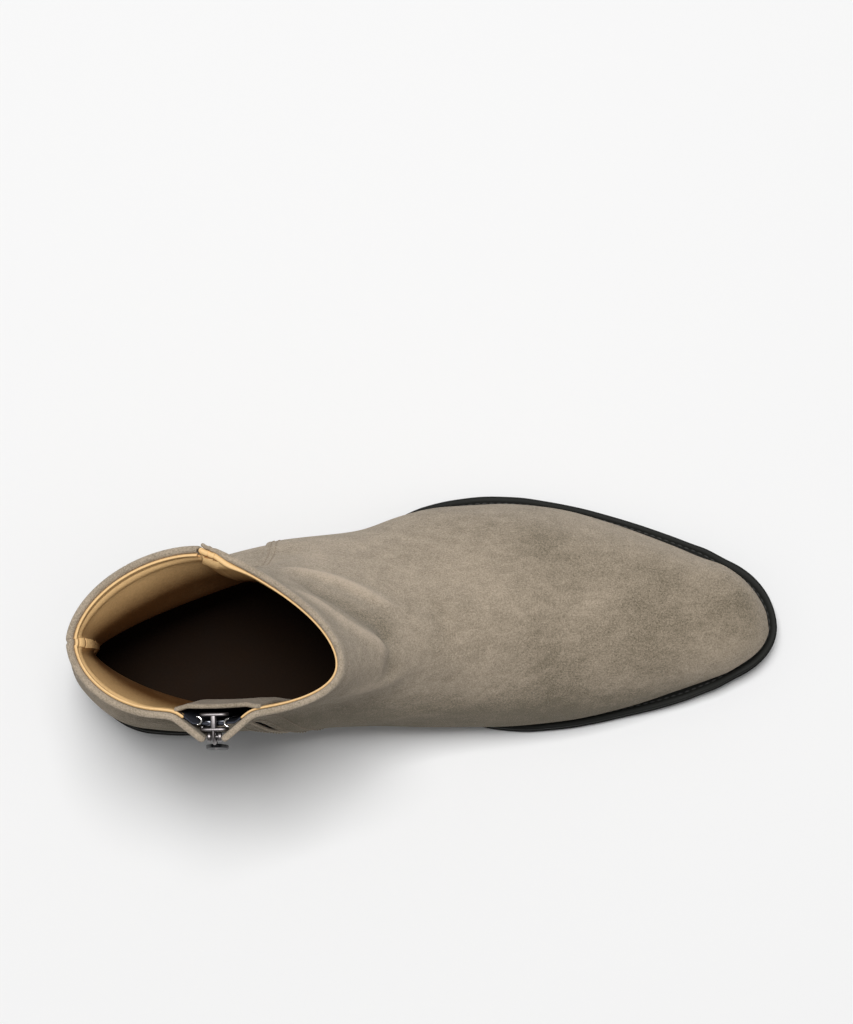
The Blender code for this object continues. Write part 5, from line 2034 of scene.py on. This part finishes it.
    def slider(self) -> Shape:
        """The slider: two shield-shaped plates, the post between them, side flanges, and the bridge."""
        arch = np.linspace(0.0, math.pi, 15)
        outward = self.bridge_foot + self.bridge_rise * np.sin(arch) ** self.bridge_squareness
        bow = np.stack([np.zeros_like(arch), outward, self.bridge_half * np.cos(arch)], -1)
        parts = [self.block(*row) for row in self.SLIDER_BLOCKS]
        parts.append(Shape.tube(bow, self.bridge_radius, 12, self.bridge_flat))
        return Shape.joined(parts).moved(*self.slider_axes())

    def stops(self) -> Shape:
        """The two top stops: bright half rings crimped round the tapes' cords, closed towards the middle."""
        angle = np.linspace(-self.stop_turn, self.stop_turn, 17)
        rings = []
        for side, level in self.STOPS:
            ahead = side * (self.stop_out - self.stop_half * np.cos(angle))
            outward = level + self.stop_half * np.sin(angle)
            path = np.stack([ahead, outward, np.full_like(angle, self.stop_z)], -1)
            rings.append(Shape.tube(path, self.stop_radius))
        return Shape.joined(rings).moved(*self.slider_axes())

    def pull_axes(self) -> tuple[Array, Array]:
        """The pull's pivot, and its axes as rows: level forward, level outward and upright."""
        origin, axes = self.slider_axes()
        pivot = origin + axes[1] * self.axis_level
        forward = unit(axes[0] * [1.0, 1.0, 0.0])
        upright = np.array([0.0, 0.0, 1.0])
        outward = np.cross(forward, -upright)
        outward = outward * (1.0 if outward @ axes[1] > 0 else -1.0)
        return pivot, np.stack([forward, outward, upright])

    def pull(self) -> Shape:
        """The pull's head: a pin through the bridge, two cheeks, the bar between them and the neck."""
        neck = np.linspace(0.0, 1.0, 9)
        none = np.zeros_like(neck)
        pin = np.stack([np.linspace(-self.pin_half, self.pin_half, 9), none, none], -1)
        down = self.neck_start - self.neck_length * neck
        bend = np.stack([none, self.tab_outset * smoothstep(0.0, 1.0, neck), down], -1)
        circle = self.cheek_radius * np.stack([np.cos(turns(32)), np.sin(turns(32))], -1)
        disc = Shape.slab(circle, self.plate_half, self.plate_edge)
        parts = [Shape.tube(pin, self.pin_radius, 12), Shape.tube(bend, self.neck_radius, 16, 0.5)]
        for side in (-self.CHEEK_OUT, self.CHEEK_OUT):
            parts.append(disc.reordered((2, 0, 1), (side, 0.0, 0.0)))
            parts.append(self.block(self.CHEEK_HALF, 0.5, 0.4, (side, 0.0, self.CHEEK_Z)))
        parts.append(self.block(*self.PULL_BAR))
        return Shape.joined(parts).moved(*self.pull_axes())

    def tab(self) -> Shape:
        """The pull's tab: a flat drop, narrow at the neck and wide at its round end, cranked outwards."""
        way = turns(72)
        tall, wide = signed_power(np.sin(way), 0.8), signed_power(np.cos(way), 0.5)
        half_width = self.tab_half_width - self.tab_narrowing * smoothstep(0.0, 1.0, tall)
        outline = np.stack([half_width * wide, self.tab_half_length * tall], -1)
        tab = Shape.slab(outline, self.plate_half, self.plate_edge)
        return tab.reordered(UPRIGHT, (0.0, self.tab_outset, self.tab_z)).moved(*self.pull_axes())

    def build(self, wardrobe: Wardrobe) -> None:
        """Makes and dresses every piece of the zip."""
        for side, word in ((1, "front"), (-1, "rear")):
            name, nodes = f"woven_tape_{word}", (f"zip_tape_{word}",)
            wardrobe.dress(self.tape(side), name, TAPE, nodes=nodes, crease=SHEET_CREASE)
            wardrobe.dress(self.teeth(side), f"zip_teeth_{word}", DARK_TEETH, crease=TOOTH_CREASE)
        wardrobe.dress(self.guard(), "suede_guard", SUEDE, nodes=("zip_guard",), crease=SHEET_CREASE)
        wardrobe.dress(self.slider(), "slider", GUNMETAL, nodes=("zip_slider",))
        wardrobe.dress(self.stops(), "top_stops", BRIGHT)
        wardrobe.dress(self.pull(), "pull_head", GUNMETAL, body=PULL, nodes=("zip_pull",))
        wardrobe.dress(self.tab(), "pull_tab", TAB_BLACK, body=PULL, nodes=("zip_pull",))


@dataclass
class Studio:
    """Floor, lights, world and camera, in metres."""

    camera_place: Triple = (0.1025, -0.1271, 1.4885)
    tilt: float = 7.1
    roll: float = 3.84
    focal_px: float = 3450.0
    image_height_px: float = 1024.0
    sensor_mm: float = 36.0
    floor_size: float = 12.0
    floor_albedo: float = 0.86
    key_power: float = 80.0
    key_place: Triple = (0.0, 0.42, 3.0)
    key_size: float = 1.0
    fill_power: float = 5.0
    fill_place: Triple = (1.0, -0.3, 3.2)
    fill_size: float = 2.2
    world_strength: float = 0.2
    aim: Triple = (0.1, 0.0, 0.05)
    clip_start: float = 0.05
    clip_end: float = 50.0

    def camera(self) -> None:
        """The camera: above the boot, tilted to the outer side and rolled."""
        tilt, roll = math.radians(self.tilt), math.radians(self.roll)
        right = Vector((math.cos(roll), -math.sin(roll), 0.0))
        level_up = Vector((math.sin(roll), math.cos(roll), 0.0))
        look = Vector((0.0, 0.0, -1.0)) * math.cos(tilt) + level_up * math.sin(tilt)
        up = level_up * math.cos(tilt) + Vector((0.0, 0.0, 1.0)) * math.sin(tilt)
        data = bpy.data.cameras.new("camera")
        data.sensor_width = self.sensor_mm
        data.lens = self.focal_px * self.sensor_mm / self.image_height_px
        data.clip_start, data.clip_end = self.clip_start, self.clip_end
        camera = bpy.data.objects.new("camera", data)
        turn = Matrix((right, up, -look)).transposed().to_4x4()
        camera.matrix_world = Matrix.Translation(self.camera_place) @ turn
        bpy.context.scene.collection.objects.link(camera)
        bpy.context.scene.camera = camera

    def floor(self) -> None:
        """The plain pale floor."""
        half = self.floor_size / 2
        mesh = bpy.data.meshes.new("floor")
        corners = [(-half, -half, 0), (half, -half, 0), (half, half, 0), (-half, half, 0)]
        mesh.from_pydata(corners, [], [(0, 1, 2, 3)])
        sheet = ShaderSheet("pale_floor")
        tone = (*(self.floor_albedo,) * 3, 1.0)
        mesh.materials.append(sheet.set(base_color=tone, roughness=0.9, specular_ior_level=0.1))
        floor = bpy.data.objects.new("floor", mesh)
        bpy.context.scene.collection.objects.link(floor)

    def lamp(self, name: str, where: Triple, size: float, power: float) -> None:
        """A square soft light that faces the boot.

        Args:
            name: The light's name.
            where: Its place.
            size: Its side.
            power: Its power in watts.
        """
        data = bpy.data.lights.new(name, "AREA")
        data.size = size
        data.energy = power
        lamp = bpy.data.objects.new(name, data)
        lamp.location = where
        lamp.rotation_mode = "QUATERNION"
        lamp.rotation_quaternion = (Vector(self.aim) - Vector(where)).to_track_quat("-Z", "Y")
        bpy.context.scene.collection.objects.link(lamp)

    def world(self) -> None:
        """A plain white surround."""
        world = bpy.data.worlds.new("surround")
        world.use_nodes = True
        background = world.node_tree.nodes["Background"]
        background.inputs[0].default_value = (1.0, 1.0, 1.0, 1.0)
        background.inputs[1].default_value = self.world_strength
        bpy.context.scene.world = world

    def build(self) -> None:
        """Sets up everything round the boot."""
        bpy.context.scene.view_settings.view_transform = "Standard"
        self.camera()
        self.floor()
        self.world()
        self.lamp("key", self.key_place, self.key_size, self.key_power)
        self.lamp("fill", self.fill_place, self.fill_size, self.fill_power)


def main() -> None:
    """Builds the studio and every part of the boot in order."""
    logging.basicConfig(level=logging.INFO, format="%(name)s: %(message)s")
    wardrobe = Wardrobe()
    last = Last()
    face = UpperFace(last)
    Studio().build()
    SuedeUpper(face).build(wardrobe)
    SoleUnit(last).build(wardrobe)
    ZipFastener(face).build(wardrobe)


if __name__ == "__main__":
    main()
